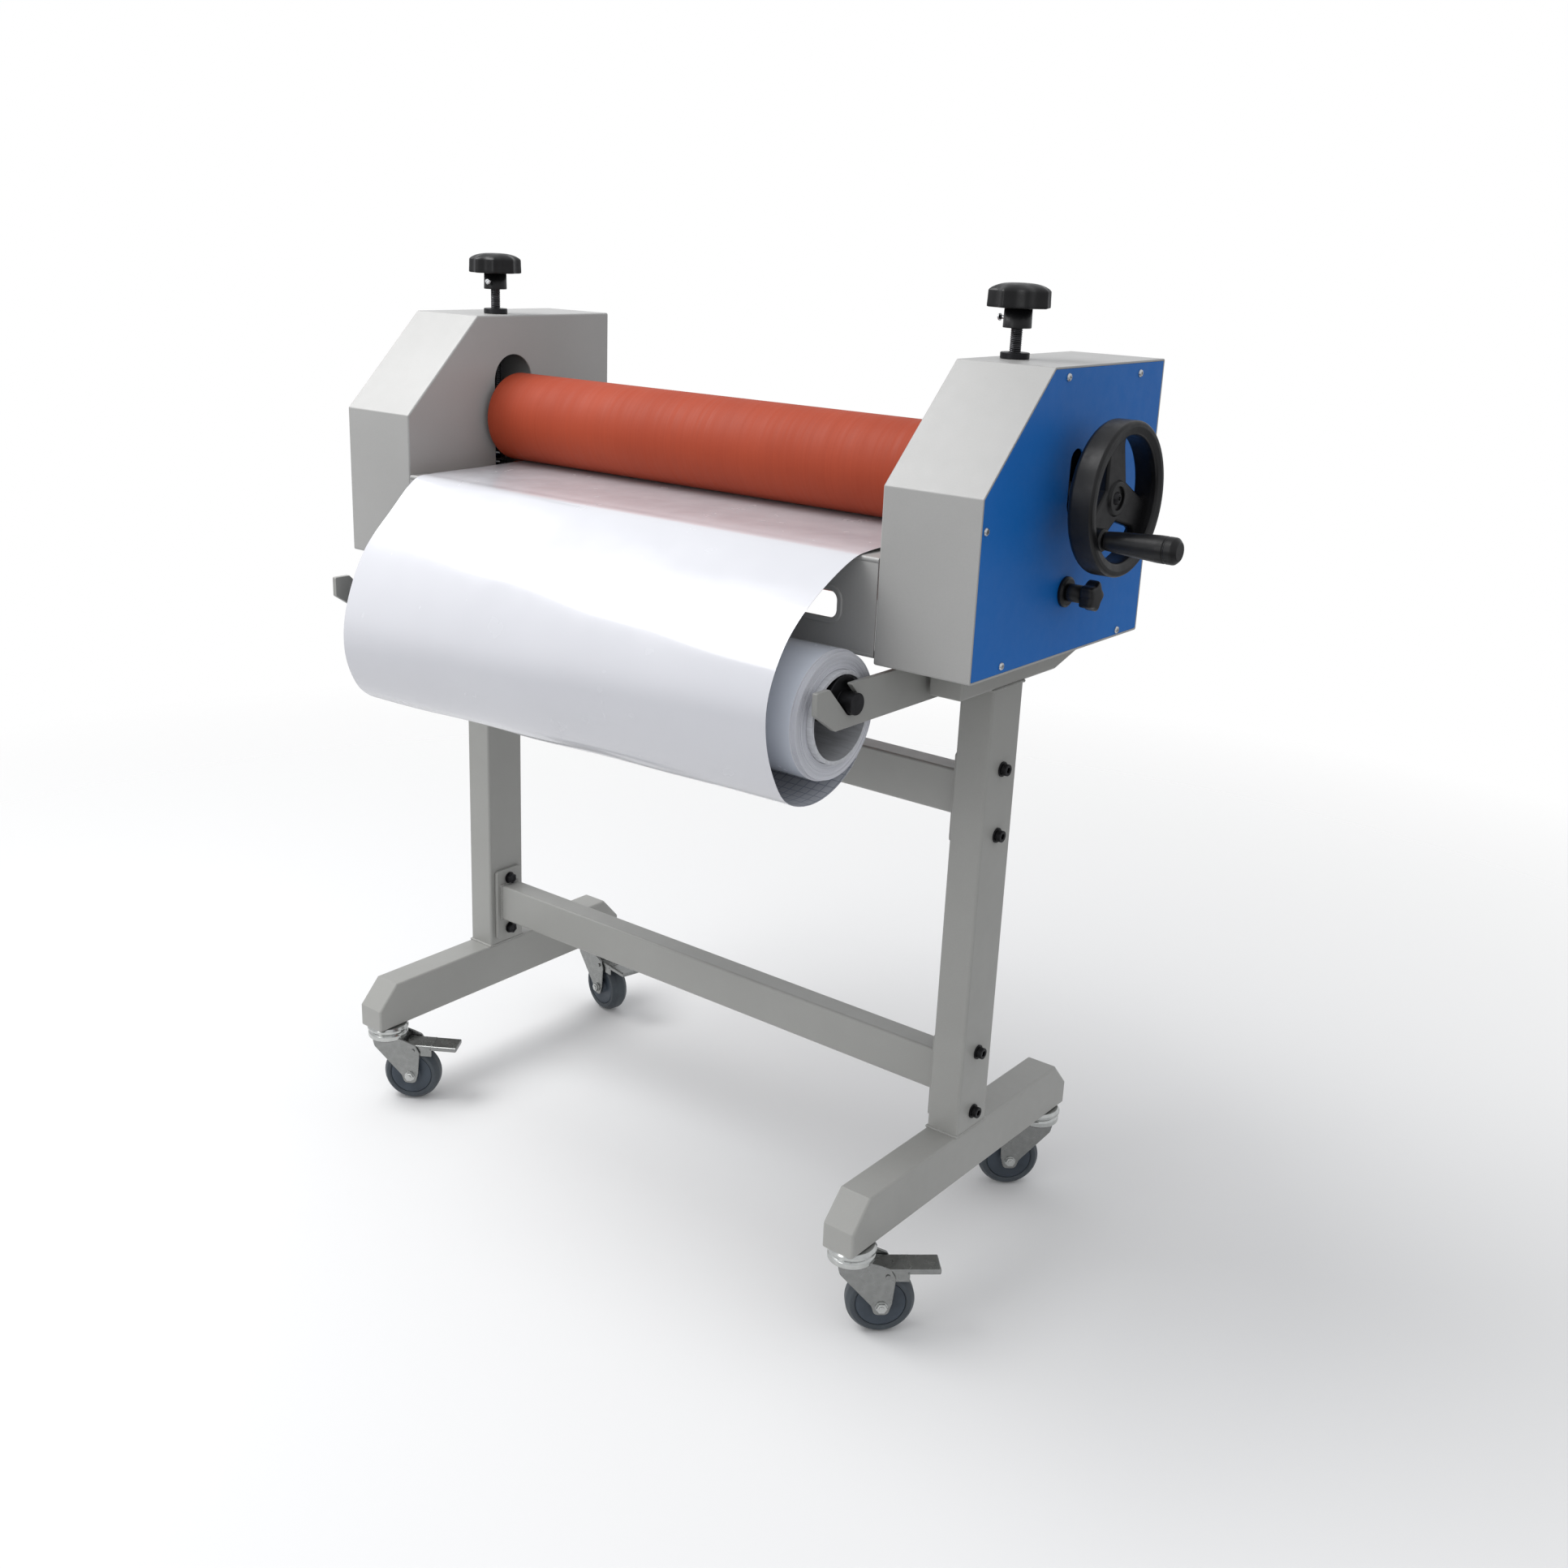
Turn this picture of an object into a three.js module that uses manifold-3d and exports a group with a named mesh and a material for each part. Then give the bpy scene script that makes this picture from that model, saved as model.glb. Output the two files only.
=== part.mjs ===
// Cold roll laminator on a wheeled stand. Millimetres, +Z up, X along the rollers, front at -Y.
// Dimensions below are in the machine's own frame: X = 0 midway between the housings, Y = 0 through
// the leg posts, Z = 0 on the floor. The last group moves all of it so that the origin is at the
// centre of the footprint of the whole object.
import * as THREE from 'three';
import { mergeVertices } from 'three/addons/utils/BufferGeometryUtils.js';
import Module from 'manifold-3d';

const wasm = await Module();
wasm.setup();

// ---------------------------------------------------------------- driving dimensions
const gap = 0.3; // air left between pieces that touch
const sheet = 2; // folded sheet metal

const housing = { inner: 340, outer: 450, front: -166, back: 174, bottom: 724, top: 1010, bevel: 112 };
const lip = 12; // return flange behind the end panel
const rollerY = 4; // both roller axes, the screws and the guides
const nipZ = 834; // top of the bottom roller
const film = { thickness: 0.8, half: 318.5 };
const topRoller = { radius: 53, half: 332, core: 20, z: nipZ + 2 * gap + film.thickness + 53 };
const bottomRoller = { radius: 44, half: 332, core: 18, z: nipZ - 44 };
const journal = { radius: 14, end: 398, drive: 10 };
const block = { width: 62, depth: 54, inner: 344, halfHeight: 30 };
const guide = { clear: 0.3, thick: 6, top: 968 };
const liftTravel = 21;
const screwX = 371;
const screw = { radius: 6, knobGap: 23 };
const collar = { radius: 14.5, height: 6 };
const knob = { radius: 32, hubRadius: 14, hubHeight: 19, height: 42.5 };
const panelSlot = { width: 25, top: 931, bottom: 866 };

const wheel = { x0: 482, x1: 509, radius: 75, inner: 61, hubRadius: 18, hub0: 463, hub1: 500 };
const crank = { y: -42.7, z: -34, x0: 511, x1: 586, radius: 13, pin: 4 };
const starKnob = { radius: 16, x0: 473, x1: 487, spindle: 9, spigot: 5, flange: 15.5 };

const bed = { top: 828.6, bottom: 730, front: -166, back: 174, lipIn: 22, lipDown: 6, rollerGap: 34 };
const handHold = { x: 239, half: 55, z0: 762, z1: 789, corner: 9 };

const leg = { x: 379, tubeX: 40, tubeY: 60, wall: 2.5 };
const foot = { half: 225, bottom: 106, top: 166, chamferY: 29, chamferZ: 31 };
const beam = { front: -92, back: 150, bottom: 683.7, top: 723.7, flatBack: 97, backZ: 699 };
const bar = { tubeY: 30, tubeZ: 50, wall: 2, plate: 5, plateY: 44 };
const crossbars = { lower: { z: 229, bolts: [188, 262] }, upper: { z: 560, bolts: [519, 593] } };
const bolt = { shank: 4, head: 6.5, headHeight: 8, nut: 7.5, nutHeight: 7 };

const arm = { x0: 348, x1: 354, bottom: 675, top: 718, front: -274, back: -14, pinSlot: 23.6 };
const supply = { y: -217.5, z: 698.5, pin: 11, tube: 25, tubeHalf: 344, end: 361 };
const core = { bore: 42.5, radius: 46.2, left: -316, right: 342 };
const roll = { radius: 65, step: 62.5, left: -307, right: 330 };

const caster = { x: 379, y: 197, wheelRadius: 37.5, wheelHalf: 12.5, trail: 33, ring: 27 };
const casterAngles = { front_left: 33, front_right: 42, rear_left: -12, rear_right: -138 };

// ---------------------------------------------------------------- materials
const finish = (color, roughness, metalness = 0) =>
  new THREE.MeshStandardMaterial({ color, roughness, metalness });
const powderGrey = finish(0xb9b8b2, 0.55);
const panelBlue = finish(0x1f6bb0, 0.4);
const rubberRed = finish(0xb5482c, 0.7);
const blackPlastic = finish(0x1c1c1e, 0.5);
const blackSteel = finish(0x202020, 0.45, 0.8);
const brightSteel = finish(0xc4c6c8, 0.3, 1);
const castGrey = finish(0x6f7072, 0.6, 0.6);
const filmWhite = finish(0xf2f3f5, 0.25);
const cardboard = finish(0xc9c6c2, 0.8);
const zinc = finish(0xd2d6da, 0.3, 1);
const tyreGrey = finish(0x5d6672, 0.7);

// ---------------------------------------------------------------- solid helpers
function toSolid(geometry) {
  const bare = geometry.clone();
  bare.deleteAttribute('normal');
  bare.deleteAttribute('uv');
  const merged = mergeVertices(bare, 1e-4);
  const mesh = new wasm.Mesh({
    numProp: 3,
    vertProperties: new Float32Array(merged.attributes.position.array),
    triVerts: new Uint32Array(merged.index.array),
  });
  return new wasm.Manifold(mesh);
}

function toGeometry(solid) {
  const mesh = solid.getMesh();
  const geometry = new THREE.BufferGeometry();
  geometry.setAttribute('position', new THREE.BufferAttribute(mesh.vertProperties, 3));
  geometry.setIndex(new THREE.BufferAttribute(mesh.triVerts, 1));
  return geometry;
}

const join = (...parts) => toGeometry(parts.map(toSolid).reduce((a, b) => a.add(b)));
const cut = (base, ...tools) =>
  toGeometry(tools.map(toSolid).reduce((a, b) => a.subtract(b), toSolid(base)));

function box(x0, x1, y0, y1, z0, z1) {
  const geometry = new THREE.BoxGeometry(x1 - x0, y1 - y0, z1 - z0);
  return geometry.translate((x0 + x1) / 2, (y0 + y1) / 2, (z0 + z1) / 2);
}

const outline = (points) => new THREE.Shape(points.map(([u, v]) => new THREE.Vector2(u, v)));

function roundedRect(cu, cv, halfU, halfV, radius) {
  const shape = new THREE.Shape();
  const arc = (su, sv, start) =>
    shape.absarc(cu + su * (halfU - radius), cv + sv * (halfV - radius), radius, start, start + Math.PI / 2);
  arc(1, 1, 0);
  arc(-1, 1, Math.PI / 2);
  arc(-1, -1, Math.PI);
  arc(1, -1, 1.5 * Math.PI);
  return shape;
}

function extrude(shape, depth, curveSegments = 6) {
  return new THREE.ExtrudeGeometry(shape, { depth, bevelEnabled: false, curveSegments });
}

const axisX = new THREE.Vector3(1, 0, 0);
const axisY = new THREE.Vector3(0, 1, 0);
const axisZ = new THREE.Vector3(0, 0, 1);
const alongX = new THREE.Matrix4().makeBasis(axisY, axisZ, axisX);
const alongY = new THREE.Matrix4().makeBasis(axisX, axisZ, axisY.clone().negate());

// a (Y, Z) outline carried from x0 to x1
const prismX = (shape, x0, x1, segments) =>
  extrude(shape, x1 - x0, segments).applyMatrix4(alongX).translate(x0, 0, 0);
// an (X, Z) outline carried from y0 to y1
const prismY = (shape, y0, y1, segments) =>
  extrude(shape, y1 - y0, segments).applyMatrix4(alongY).translate(0, y1, 0);
const prismZ = (shape, z0, z1, segments) => extrude(shape, z1 - z0, segments).translate(0, 0, z0);

// [radius, height] pairs turned round Z; the list runs up the outside and closes on itself
function turnZ(profile, segments = 24) {
  const points = profile.map(([r, h]) => new THREE.Vector2(r, h));
  if (profile[0][0] > 0) points.push(points[0].clone());
  return new THREE.LatheGeometry(points, segments).rotateX(Math.PI / 2);
}
const turnX = (profile, segments) => turnZ(profile, segments).rotateY(Math.PI / 2);
const rodZ = (radius, z0, z1, segments = 20) => turnZ([[0, z0], [radius, z0], [radius, z1], [0, z1]], segments);
const rodX = (radius, x0, x1, segments = 20) => turnX([[0, x0], [radius, x0], [radius, x1], [0, x1]], segments);
const rodY = (radius, y0, y1, segments = 20) => rodZ(radius, -y1, -y0, segments).rotateX(Math.PI / 2);
const mirrorX = (geometry) => geometry.clone().rotateZ(Math.PI); // for shapes centred on Y = 0

const machine = new THREE.Group();

function add(parent, name, geometry, material) {
  const mesh = new THREE.Mesh(geometry, material);
  mesh.name = name;
  parent.add(mesh);
  return mesh;
}

// one piece drawn for the right-hand side at +X and its twin at -X
const sides = [['left', -1], ['right', 1]];
const spanX = (side, near, far) => (side > 0 ? [near, far] : [-far, -near]);

// ---------------------------------------------------------------- stand
function legFrame(side) {
  const [x0, x1] = spanX(side, leg.x - leg.tubeX / 2, leg.x + leg.tubeX / 2);
  const { wall } = leg;
  const footOutline = (inset) => {
    const y = foot.half - inset;
    const diagonal = inset * 0.42;
    return outline([
      [-y, foot.bottom + inset], [y, foot.bottom + inset], [y, foot.top - foot.chamferZ - diagonal],
      [foot.half - foot.chamferY - diagonal, foot.top - inset],
      [-foot.half + foot.chamferY + diagonal, foot.top - inset], [-y, foot.top - foot.chamferZ - diagonal],
    ]);
  };
  const beamOutline = (inset) => outline([
    [beam.front + inset, beam.bottom + inset], [beam.flatBack, beam.bottom + inset],
    [beam.back - inset, beam.backZ + inset], [beam.back - inset, beam.top - inset],
    [beam.front + inset, beam.top - inset],
  ]);
  const halfY = leg.tubeY / 2;
  const outer = join(
    prismX(footOutline(0), x0, x1),
    prismX(beamOutline(0), x0, x1),
    box(x0, x1, -halfY, halfY, foot.top - 1, beam.bottom + 1),
  );
  const inner = [x0 + wall, x1 - wall];
  const holes = [...crossbars.lower.bolts, ...crossbars.upper.bolts].map((z) =>
    rodX(bolt.shank + gap, x0 - 1, x1 + 1, 8).translate(0, 0, z));
  const stemHoles = [-1, 1].map((end) =>
    rodZ(6.6, foot.bottom - 1, foot.bottom + wall + 1, 16).translate(side * caster.x, end * caster.y, 0));
  const topHoles = [-60, 60].map((y) =>
    rodZ(4.5, beam.top - wall - 1, beam.top + 1, 8).translate(side * leg.x, y, 0));
  return cut(
    outer,
    prismX(footOutline(wall), ...inner),
    prismX(beamOutline(wall), ...inner),
    box(...inner, -halfY + wall, halfY - wall, foot.top + 1, beam.bottom - 1),
    ...holes, ...stemHoles, ...topHoles,
  );
}

function crossbar({ z, bolts }) {
  const end = leg.x - leg.tubeX / 2 - gap;
  const halfY = bar.tubeY / 2;
  const halfZ = bar.tubeZ / 2;
  const { wall, plate } = bar;
  const tube = box(-end + 1, end - 1, -halfY, halfY, z - halfZ, z + halfZ);
  const bore = box(-end - 1, end + 1, -halfY + wall, halfY - wall, z - halfZ + wall, z + halfZ - wall);
  const plateShape = roundedRect(0, (bolts[0] + bolts[1]) / 2, bar.plateY / 2, 50, 4);
  const plates = [[-end, -end + plate], [end - plate, end]].map(([a, b]) => prismX(plateShape, a, b, 3));
  const holes = bolts.map((h) => rodX(bolt.shank + gap, -end - 1, end + 1, 8).translate(0, 0, h));
  return cut(join(tube, ...plates), bore, ...holes);
}

// cap screw through the post and the crossbar's end plate, with its nut on the inside
function postBolt(side) {
  const outside = leg.x + leg.tubeX / 2 + gap;
  const plateFace = leg.x - leg.tubeX / 2 - gap - bar.plate - gap;
  const profile = [
    [0, plateFace - bolt.nutHeight], [bolt.nut, plateFace - bolt.nutHeight],
    [bolt.nut, plateFace], [bolt.shank, plateFace], [bolt.shank, outside],
    [bolt.head, outside], [bolt.head, outside + bolt.headHeight], [0, outside + bolt.headHeight],
  ];
  const shape = turnX(profile, 8);
  return side > 0 ? shape : mirrorX(shape);
}

function addStand() {
  for (const [label, side] of sides) {
    add(machine, `${label}_leg_frame`, legFrame(side), powderGrey);
    for (const [bar, { bolts }] of Object.entries(crossbars)) {
      ['bottom', 'top'].forEach((end, i) => {
        const screwMesh = add(machine, `${label}_${bar}_bolt_${end}`, postBolt(side), blackSteel);
        screwMesh.position.z = bolts[i];
      });
    }
  }
  add(machine, 'lower_crossbar', crossbar(crossbars.lower), powderGrey);
  add(machine, 'upper_crossbar', crossbar(crossbars.upper), powderGrey);
}

// ---------------------------------------------------------------- casters
// drawn with the swivel axis on Z through the origin and the wheel trailing towards +X
function casterPlate() {
  return turnZ([
    [0, 98], [caster.ring, 98], [caster.ring, 103], [caster.ring - 3, 105.7], [6, 105.7], [6, 124], [0, 124],
  ], 16);
}

function casterFork() {
  const cap = turnZ([[0, 86], [24, 86], [26, 89], [26, 95], [22, 97.7], [0, 97.7]], 16);
  const cheek = new THREE.Shape();
  cheek.moveTo(-16, 90);
  cheek.lineTo(caster.trail - 11, caster.wheelRadius - 2);
  cheek.absarc(caster.trail, caster.wheelRadius, 11, 1.1 * Math.PI, 1.95 * Math.PI);
  cheek.lineTo(caster.trail + 13, 62);
  cheek.lineTo(caster.trail + 13, 74);
  cheek.lineTo(caster.trail + 4, 85);
  cheek.lineTo(22, 90);
  const cheeks = [-1, 1].map((s) => prismY(cheek, s * 17 - 1.5, s * 17 + 1.5, 3));
  const bridge = box(-16, 22, -18, 18, 85, 88);
  const axle = rodY(4.5, -24, 24, 8).translate(caster.trail, 0, caster.wheelRadius);
  return join(cap, bridge, ...cheeks, axle);
}

function casterWheel() {
  const r = caster.wheelRadius;
  const w = caster.wheelHalf;
  const profile = [
    [5, -14], [11, -14], [14, -w + 3], [24, -w], [r - 4, -w], [r, -4],
    [r, 4], [r - 4, w], [24, w], [14, w - 3], [11, 14], [5, 14],
  ];
  return turnZ(profile, 20).rotateX(Math.PI / 2).translate(caster.trail, 0, r);
}

// total-lock pedal: a plate over the wheel with folded sides that pivot between the fork's cheeks
const pedal = { x0: 33, x1: 94, sideEnd: 62, half: 15.1, wall: 2, bottom: 66, plate: 78.5, top: 81.5 };
function casterPedal() {
  const { x0, x1, sideEnd, half, wall, bottom, plate, top } = pedal;
  const inside = half - wall;
  const folded = join(box(x0, x1, -half, half, plate, top), box(x0, sideEnd, -half, half, bottom, top));
  const hollow = box(x0 - 1, sideEnd + 1, -inside, inside, bottom - 1, plate);
  const tip = rodY(3, -half, half, 8).translate(x1 - 1, 0, plate);
  return join(cut(folded, hollow), tip);
}

function addCasters() {
  for (const [corner, angle] of Object.entries(casterAngles)) {
    const [end, label] = corner.split('_');
    const place = new THREE.Group();
    place.position.set((label === 'left' ? -1 : 1) * caster.x, (end === 'front' ? -1 : 1) * caster.y, 0);
    const turned = new THREE.Group();
    turned.rotation.z = THREE.MathUtils.degToRad(angle);
    place.add(turned);
    machine.add(place);
    add(place, `${corner}_caster_plate`, casterPlate(), zinc);
    add(turned, `${corner}_caster_fork`, casterFork(), zinc);
    add(turned, `${corner}_caster_wheel`, casterWheel(), tyreGrey);
    add(turned, `${corner}_caster_pedal`, casterPedal(), zinc);
  }
}

// ---------------------------------------------------------------- housings
function housingOutline(inset) {
  const { front, back, bottom, top, bevel } = housing;
  const corner = inset * 0.414;
  return outline([
    [front + inset, bottom + inset], [back - inset, bottom + inset], [back - inset, top - inset],
    [front + bevel + corner, top - inset], [front + inset, top - bevel - corner],
  ]);
}

function slotOutline(halfWidth, z0, z1) {
  const shape = new THREE.Shape();
  shape.moveTo(rollerY - halfWidth, z0);
  shape.lineTo(rollerY + halfWidth, z0);
  shape.absarc(rollerY, z1 - halfWidth, halfWidth, 0, Math.PI);
  return shape;
}

// tray of folded sheet: side wall towards the rollers, open outwards, with two block guides inside
function sideHousing(side) {
  const x = (near, far) => spanX(side, near, far);
  const { inner, outer, bottom, top } = housing;
  const panelFace = outer - sheet - gap;
  const halfSlot = block.width / 2 + guide.clear;
  const guides = [-1, 1].map((s) => {
    const near = rollerY + s * halfSlot;
    const [y0, y1] = s > 0 ? [near, near + guide.thick] : [near - guide.thick, near];
    return box(...x(inner + sheet - 0.5, block.inner + block.depth), y0, y1, bottom + 1, guide.top);
  });
  const tray = cut(
    prismX(housingOutline(0), ...x(inner, outer)),
    prismX(housingOutline(sheet), ...x(inner + sheet, panelFace - sheet)),
    prismX(housingOutline(sheet + lip), ...x(panelFace - sheet - 1, outer + 1)),
    prismX(housingOutline(sheet), ...x(panelFace, outer + 1)),
    prismX(slotOutline(halfSlot, bottom + 6, 963), ...x(inner - 1, inner + sheet + 1), 8),
    rodZ(screw.radius + 0.6, top - sheet - 1, top + 1, 16).translate(side * screwX, rollerY, 0),
  );
  return join(tray, ...guides);
}

function endPanel(side) {
  const x = (near, far) => spanX(side, near, far);
  const { outer } = housing;
  const plate = prismX(housingOutline(sheet + 0.4), ...x(outer - sheet, outer));
  if (side < 0) return plate;
  return cut(
    plate,
    prismX(roundedRect(rollerY, (panelSlot.top + panelSlot.bottom) / 2, panelSlot.width / 2,
      (panelSlot.top - panelSlot.bottom) / 2, panelSlot.width / 2 - 0.1), outer - 4, outer + 1, 5),
    rodX(starKnob.spindle + 1.5, outer - 4, outer + 1, 16).translate(0, rollerY, bottomRoller.z),
  );
}

function addHousings() {
  for (const [label, side] of sides) {
    add(machine, `${label}_housing`, sideHousing(side), powderGrey);
    add(machine, `${label}_end_panel`, endPanel(side), panelBlue);
  }
}

// ---------------------------------------------------------------- tables
function table(front) {
  const half = housing.inner - gap;
  const edge = front ? bed.front : bed.back;
  const s = front ? 1 : -1;
  const inward = (d) => edge + s * d;
  const reach = Math.abs(rollerY - s * bed.rollerGap - edge);
  const profile = outline([
    [inward(0), bed.bottom], [inward(bed.lipIn), bed.bottom], [inward(bed.lipIn), bed.bottom + sheet],
    [inward(sheet), bed.bottom + sheet], [inward(sheet), bed.top - sheet],
    [inward(reach - sheet), bed.top - sheet], [inward(reach - sheet), bed.top - bed.lipDown],
    [inward(reach), bed.top - bed.lipDown], [inward(reach), bed.top], [inward(0), bed.top],
  ]);
  const folded = prismX(profile, -half, half);
  if (!front) return folded;
  const holes = [-1, 1].map((k) => {
    const middle = (handHold.z0 + handHold.z1) / 2;
    const tall = (handHold.z1 - handHold.z0) / 2;
    const shape = roundedRect(k * handHold.x, middle, handHold.half, tall, handHold.corner);
    return prismY(shape, edge - 1, edge + sheet + 1, 4);
  });
  return cut(folded, ...holes);
}

// ---------------------------------------------------------------- rollers
function rollerSleeve({ radius, half, core: bore }) {
  return turnX([
    [bore + gap, -half], [radius, -half], [radius, half], [bore + gap, half],
  ], 36);
}

function topShaft() {
  const { radius, end, drive } = journal;
  return turnX([
    [0, -end], [radius, -end], [radius, -topRoller.half - 4], [topRoller.core, -topRoller.half - 4],
    [topRoller.core, topRoller.half + 4], [radius, topRoller.half + 4], [radius, end + 4],
    [drive, end + 4], [drive, wheel.hub1 - 6], [0, wheel.hub1 - 6],
  ], 20);
}

function bottomShaft() {
  const { radius, end } = journal;
  return turnX([
    [0, -end], [radius, -end], [radius, -bottomRoller.half - 4], [bottomRoller.core, -bottomRoller.half - 4],
    [bottomRoller.core, bottomRoller.half + 4], [radius, bottomRoller.half + 4], [radius, end + 4],
    [starKnob.spigot, end + 4], [starKnob.spigot, starKnob.x1 - 4], [0, starKnob.x1 - 4],
  ], 20);
}

function bearingBlock(side, z, z0, z1, screwSeat) {
  const [x0, x1] = spanX(side, block.inner, block.inner + block.depth);
  const body = box(x0, x1, rollerY - block.width / 2, rollerY + block.width / 2, z0, z1);
  const bore = rodX(journal.radius + gap, x0 - 1, x1 + 1, 20).translate(0, rollerY, z);
  const seat = rodZ(screw.radius + gap, z1 - 8, z1 + 1, 16).translate(side * screwX, rollerY, 0);
  return screwSeat ? cut(body, bore, seat) : cut(body, bore);
}

function springGeometry(z0, z1) {
  const wire = 1.6;
  const turns = 3;
  const mean = 11;
  const rise = z1 - z0 - 2 * wire - 2 * gap;
  const coil = new THREE.Curve();
  coil.getPoint = (t, target = new THREE.Vector3()) => {
    const angle = 2 * Math.PI * turns * t;
    return target.set(mean * Math.cos(angle), mean * Math.sin(angle), z0 + wire + gap + rise * t);
  };
  const sixSided = Array.from({ length: 6 }, (_, i) => {
    const angle = (i * Math.PI) / 3;
    return [wire * Math.cos(angle), wire * Math.sin(angle)];
  });
  return new THREE.ExtrudeGeometry(outline(sixSided), { steps: 27, extrudePath: coil });
}

function addRollers() {
  const onAxis = (mesh, z) => mesh.position.set(0, rollerY, z);
  onAxis(add(machine, 'top_roller_sleeve', rollerSleeve(topRoller), rubberRed), topRoller.z);
  onAxis(add(machine, 'top_roller_shaft', topShaft(), brightSteel), topRoller.z);
  onAxis(add(machine, 'bottom_roller_sleeve', rollerSleeve(bottomRoller), rubberRed), bottomRoller.z);
  onAxis(add(machine, 'bottom_roller_shaft', bottomShaft(), brightSteel), bottomRoller.z);
  for (const [label, side] of sides) {
    const upper = [topRoller.z - block.halfHeight, topRoller.z + block.halfHeight];
    const lower = [housing.bottom + sheet + gap, bottomRoller.z + block.halfHeight];
    add(machine, `${label}_top_block`, bearingBlock(side, topRoller.z, ...upper, true), castGrey);
    add(machine, `${label}_bottom_block`, bearingBlock(side, bottomRoller.z, ...lower, false), castGrey);
    const spring = add(machine, `${label}_lift_spring`, springGeometry(lower[1], upper[0]), brightSteel);
    spring.position.set(side * screwX, rollerY, 0);
  }
}

// ---------------------------------------------------------------- pressure screws
const collarTop = housing.top + gap + collar.height;
const knobBase = collarTop + screw.knobGap;

function knobGeometry() {
  const lobes = new THREE.Shape();
  const count = 40;
  for (let i = 0; i < count; i += 1) {
    const angle = (2 * Math.PI * i) / count;
    const r = knob.radius - 1.9 + 1.9 * Math.cos(8 * angle);
    const method = i ? 'lineTo' : 'moveTo';
    lobes[method](r * Math.cos(angle), r * Math.sin(angle));
  }
  const capBase = knobBase + knob.hubHeight;
  const top = knobBase + knob.height;
  const dome = turnZ([
    [0, capBase], [22, capBase], [knob.radius + 1, capBase + 6], [knob.radius + 1, top - 7],
    [25, top - 2], [12, top], [0, top],
  ], 24);
  const cap = toGeometry(toSolid(dome).intersect(toSolid(prismZ(lobes, capBase, top + 1))));
  const hub = rodZ(knob.hubRadius, knobBase, capBase + 1, 20);
  const bore = rodZ(screw.radius + 0.05, knobBase - 1, knobBase + 24, 16);
  return cut(join(cap, hub), bore);
}

function addPressureScrews() {
  const screwFoot = topRoller.z + block.halfHeight - 8 + gap;
  const grip = turnZ([
    [screw.radius + gap, housing.top + gap], [collar.radius, housing.top + gap],
    [collar.radius, collarTop], [screw.radius + gap, collarTop],
  ], 20);
  for (const [label, side] of sides) {
    const place = new THREE.Group();
    place.position.set(side * screwX, rollerY, 0);
    machine.add(place);
    add(place, `${label}_pressure_screw`, rodZ(screw.radius, screwFoot, knobBase + 23, 16), brightSteel);
    add(place, `${label}_pressure_knob`, knobGeometry(), blackPlastic);
    add(place, `${label}_screw_collar`, grip, blackSteel);
  }
}

// ---------------------------------------------------------------- handwheel and star knob
function handwheelGeometry() {
  const { x0, x1, radius, inner, hubRadius, hub0, hub1 } = wheel;
  const rim = turnX([
    [inner, x0], [radius - 4, x0], [radius, x0 + 4], [radius, x1 - 6], [radius - 5, x1], [inner, x1],
  ], 36);
  const hub = turnX([[0, hub0], [hubRadius, hub0], [hubRadius, hub1], [0, hub1]], 20);
  const crankAngle = Math.atan2(crank.z, crank.y);
  const spokes = [0, 1, 2].map((k) => {
    const shape = outline([[0, -19], [inner + 4, -16], [inner + 4, 16], [0, 19]]);
    return prismX(shape, x0 + 4, x0 + 14).rotateX(crankAngle + (2 * Math.PI * k) / 3);
  });
  const atCrank = (geometry) => geometry.translate(0, crank.y, crank.z);
  const boss = atCrank(rodX(11, x0 + 4, x1 + 1, 16));
  const pin = atCrank(rodX(crank.pin, x1, crank.x1 - 14, 10));
  const bore = rodX(journal.drive + gap, hub0 - 1, hub1 + 1, 20);
  return cut(join(rim, hub, ...spokes, boss, pin), bore);
}

function crankHandle() {
  const { x0, x1, radius, pin } = crank;
  return turnX([
    [0, x1 - 12], [pin + gap, x1 - 12], [pin + gap, x0], [9, x0], [11.5, x0 + 30],
    [radius, x1 - 18], [radius, x1 - 3], [radius - 3, x1], [0, x1],
  ], 16);
}

function starKnobGeometry() {
  const { radius, x0, x1, spindle } = starKnob;
  const star = new THREE.Shape();
  const count = 40;
  for (let i = 0; i < count; i += 1) {
    const angle = (2 * Math.PI * i) / count;
    const r = radius - 2 + 2 * Math.cos(5 * angle);
    star[i ? 'lineTo' : 'moveTo'](r * Math.cos(angle), r * Math.sin(angle));
  }
  const neck = rodX(spindle, housing.outer + 5 + gap, x0 + 1, 16);
  return cut(join(prismX(star, x0, x1), neck), rodX(starKnob.spigot + gap, housing.outer, x1 - 3, 12));
}

function starKnobFlange() {
  const face = housing.outer + gap;
  const bore = starKnob.spigot + gap;
  const rim = face + 5 - gap;
  return turnX([
    [bore, face], [starKnob.flange, face], [starKnob.flange, face + 3], [starKnob.flange - 2, rim],
    [bore, rim],
  ], 16);
}

function addControls() {
  const onAxis = (mesh, z) => mesh.position.set(0, rollerY, z);
  onAxis(add(machine, 'handwheel', handwheelGeometry(), blackPlastic), topRoller.z);
  const handle = add(machine, 'crank_handle', crankHandle(), blackPlastic);
  handle.position.set(0, rollerY + crank.y, topRoller.z + crank.z);
  onAxis(add(machine, 'star_knob', starKnobGeometry(), blackPlastic), bottomRoller.z);
  onAxis(add(machine, 'star_knob_flange', starKnobFlange(), blackPlastic), bottomRoller.z);
}

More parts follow.
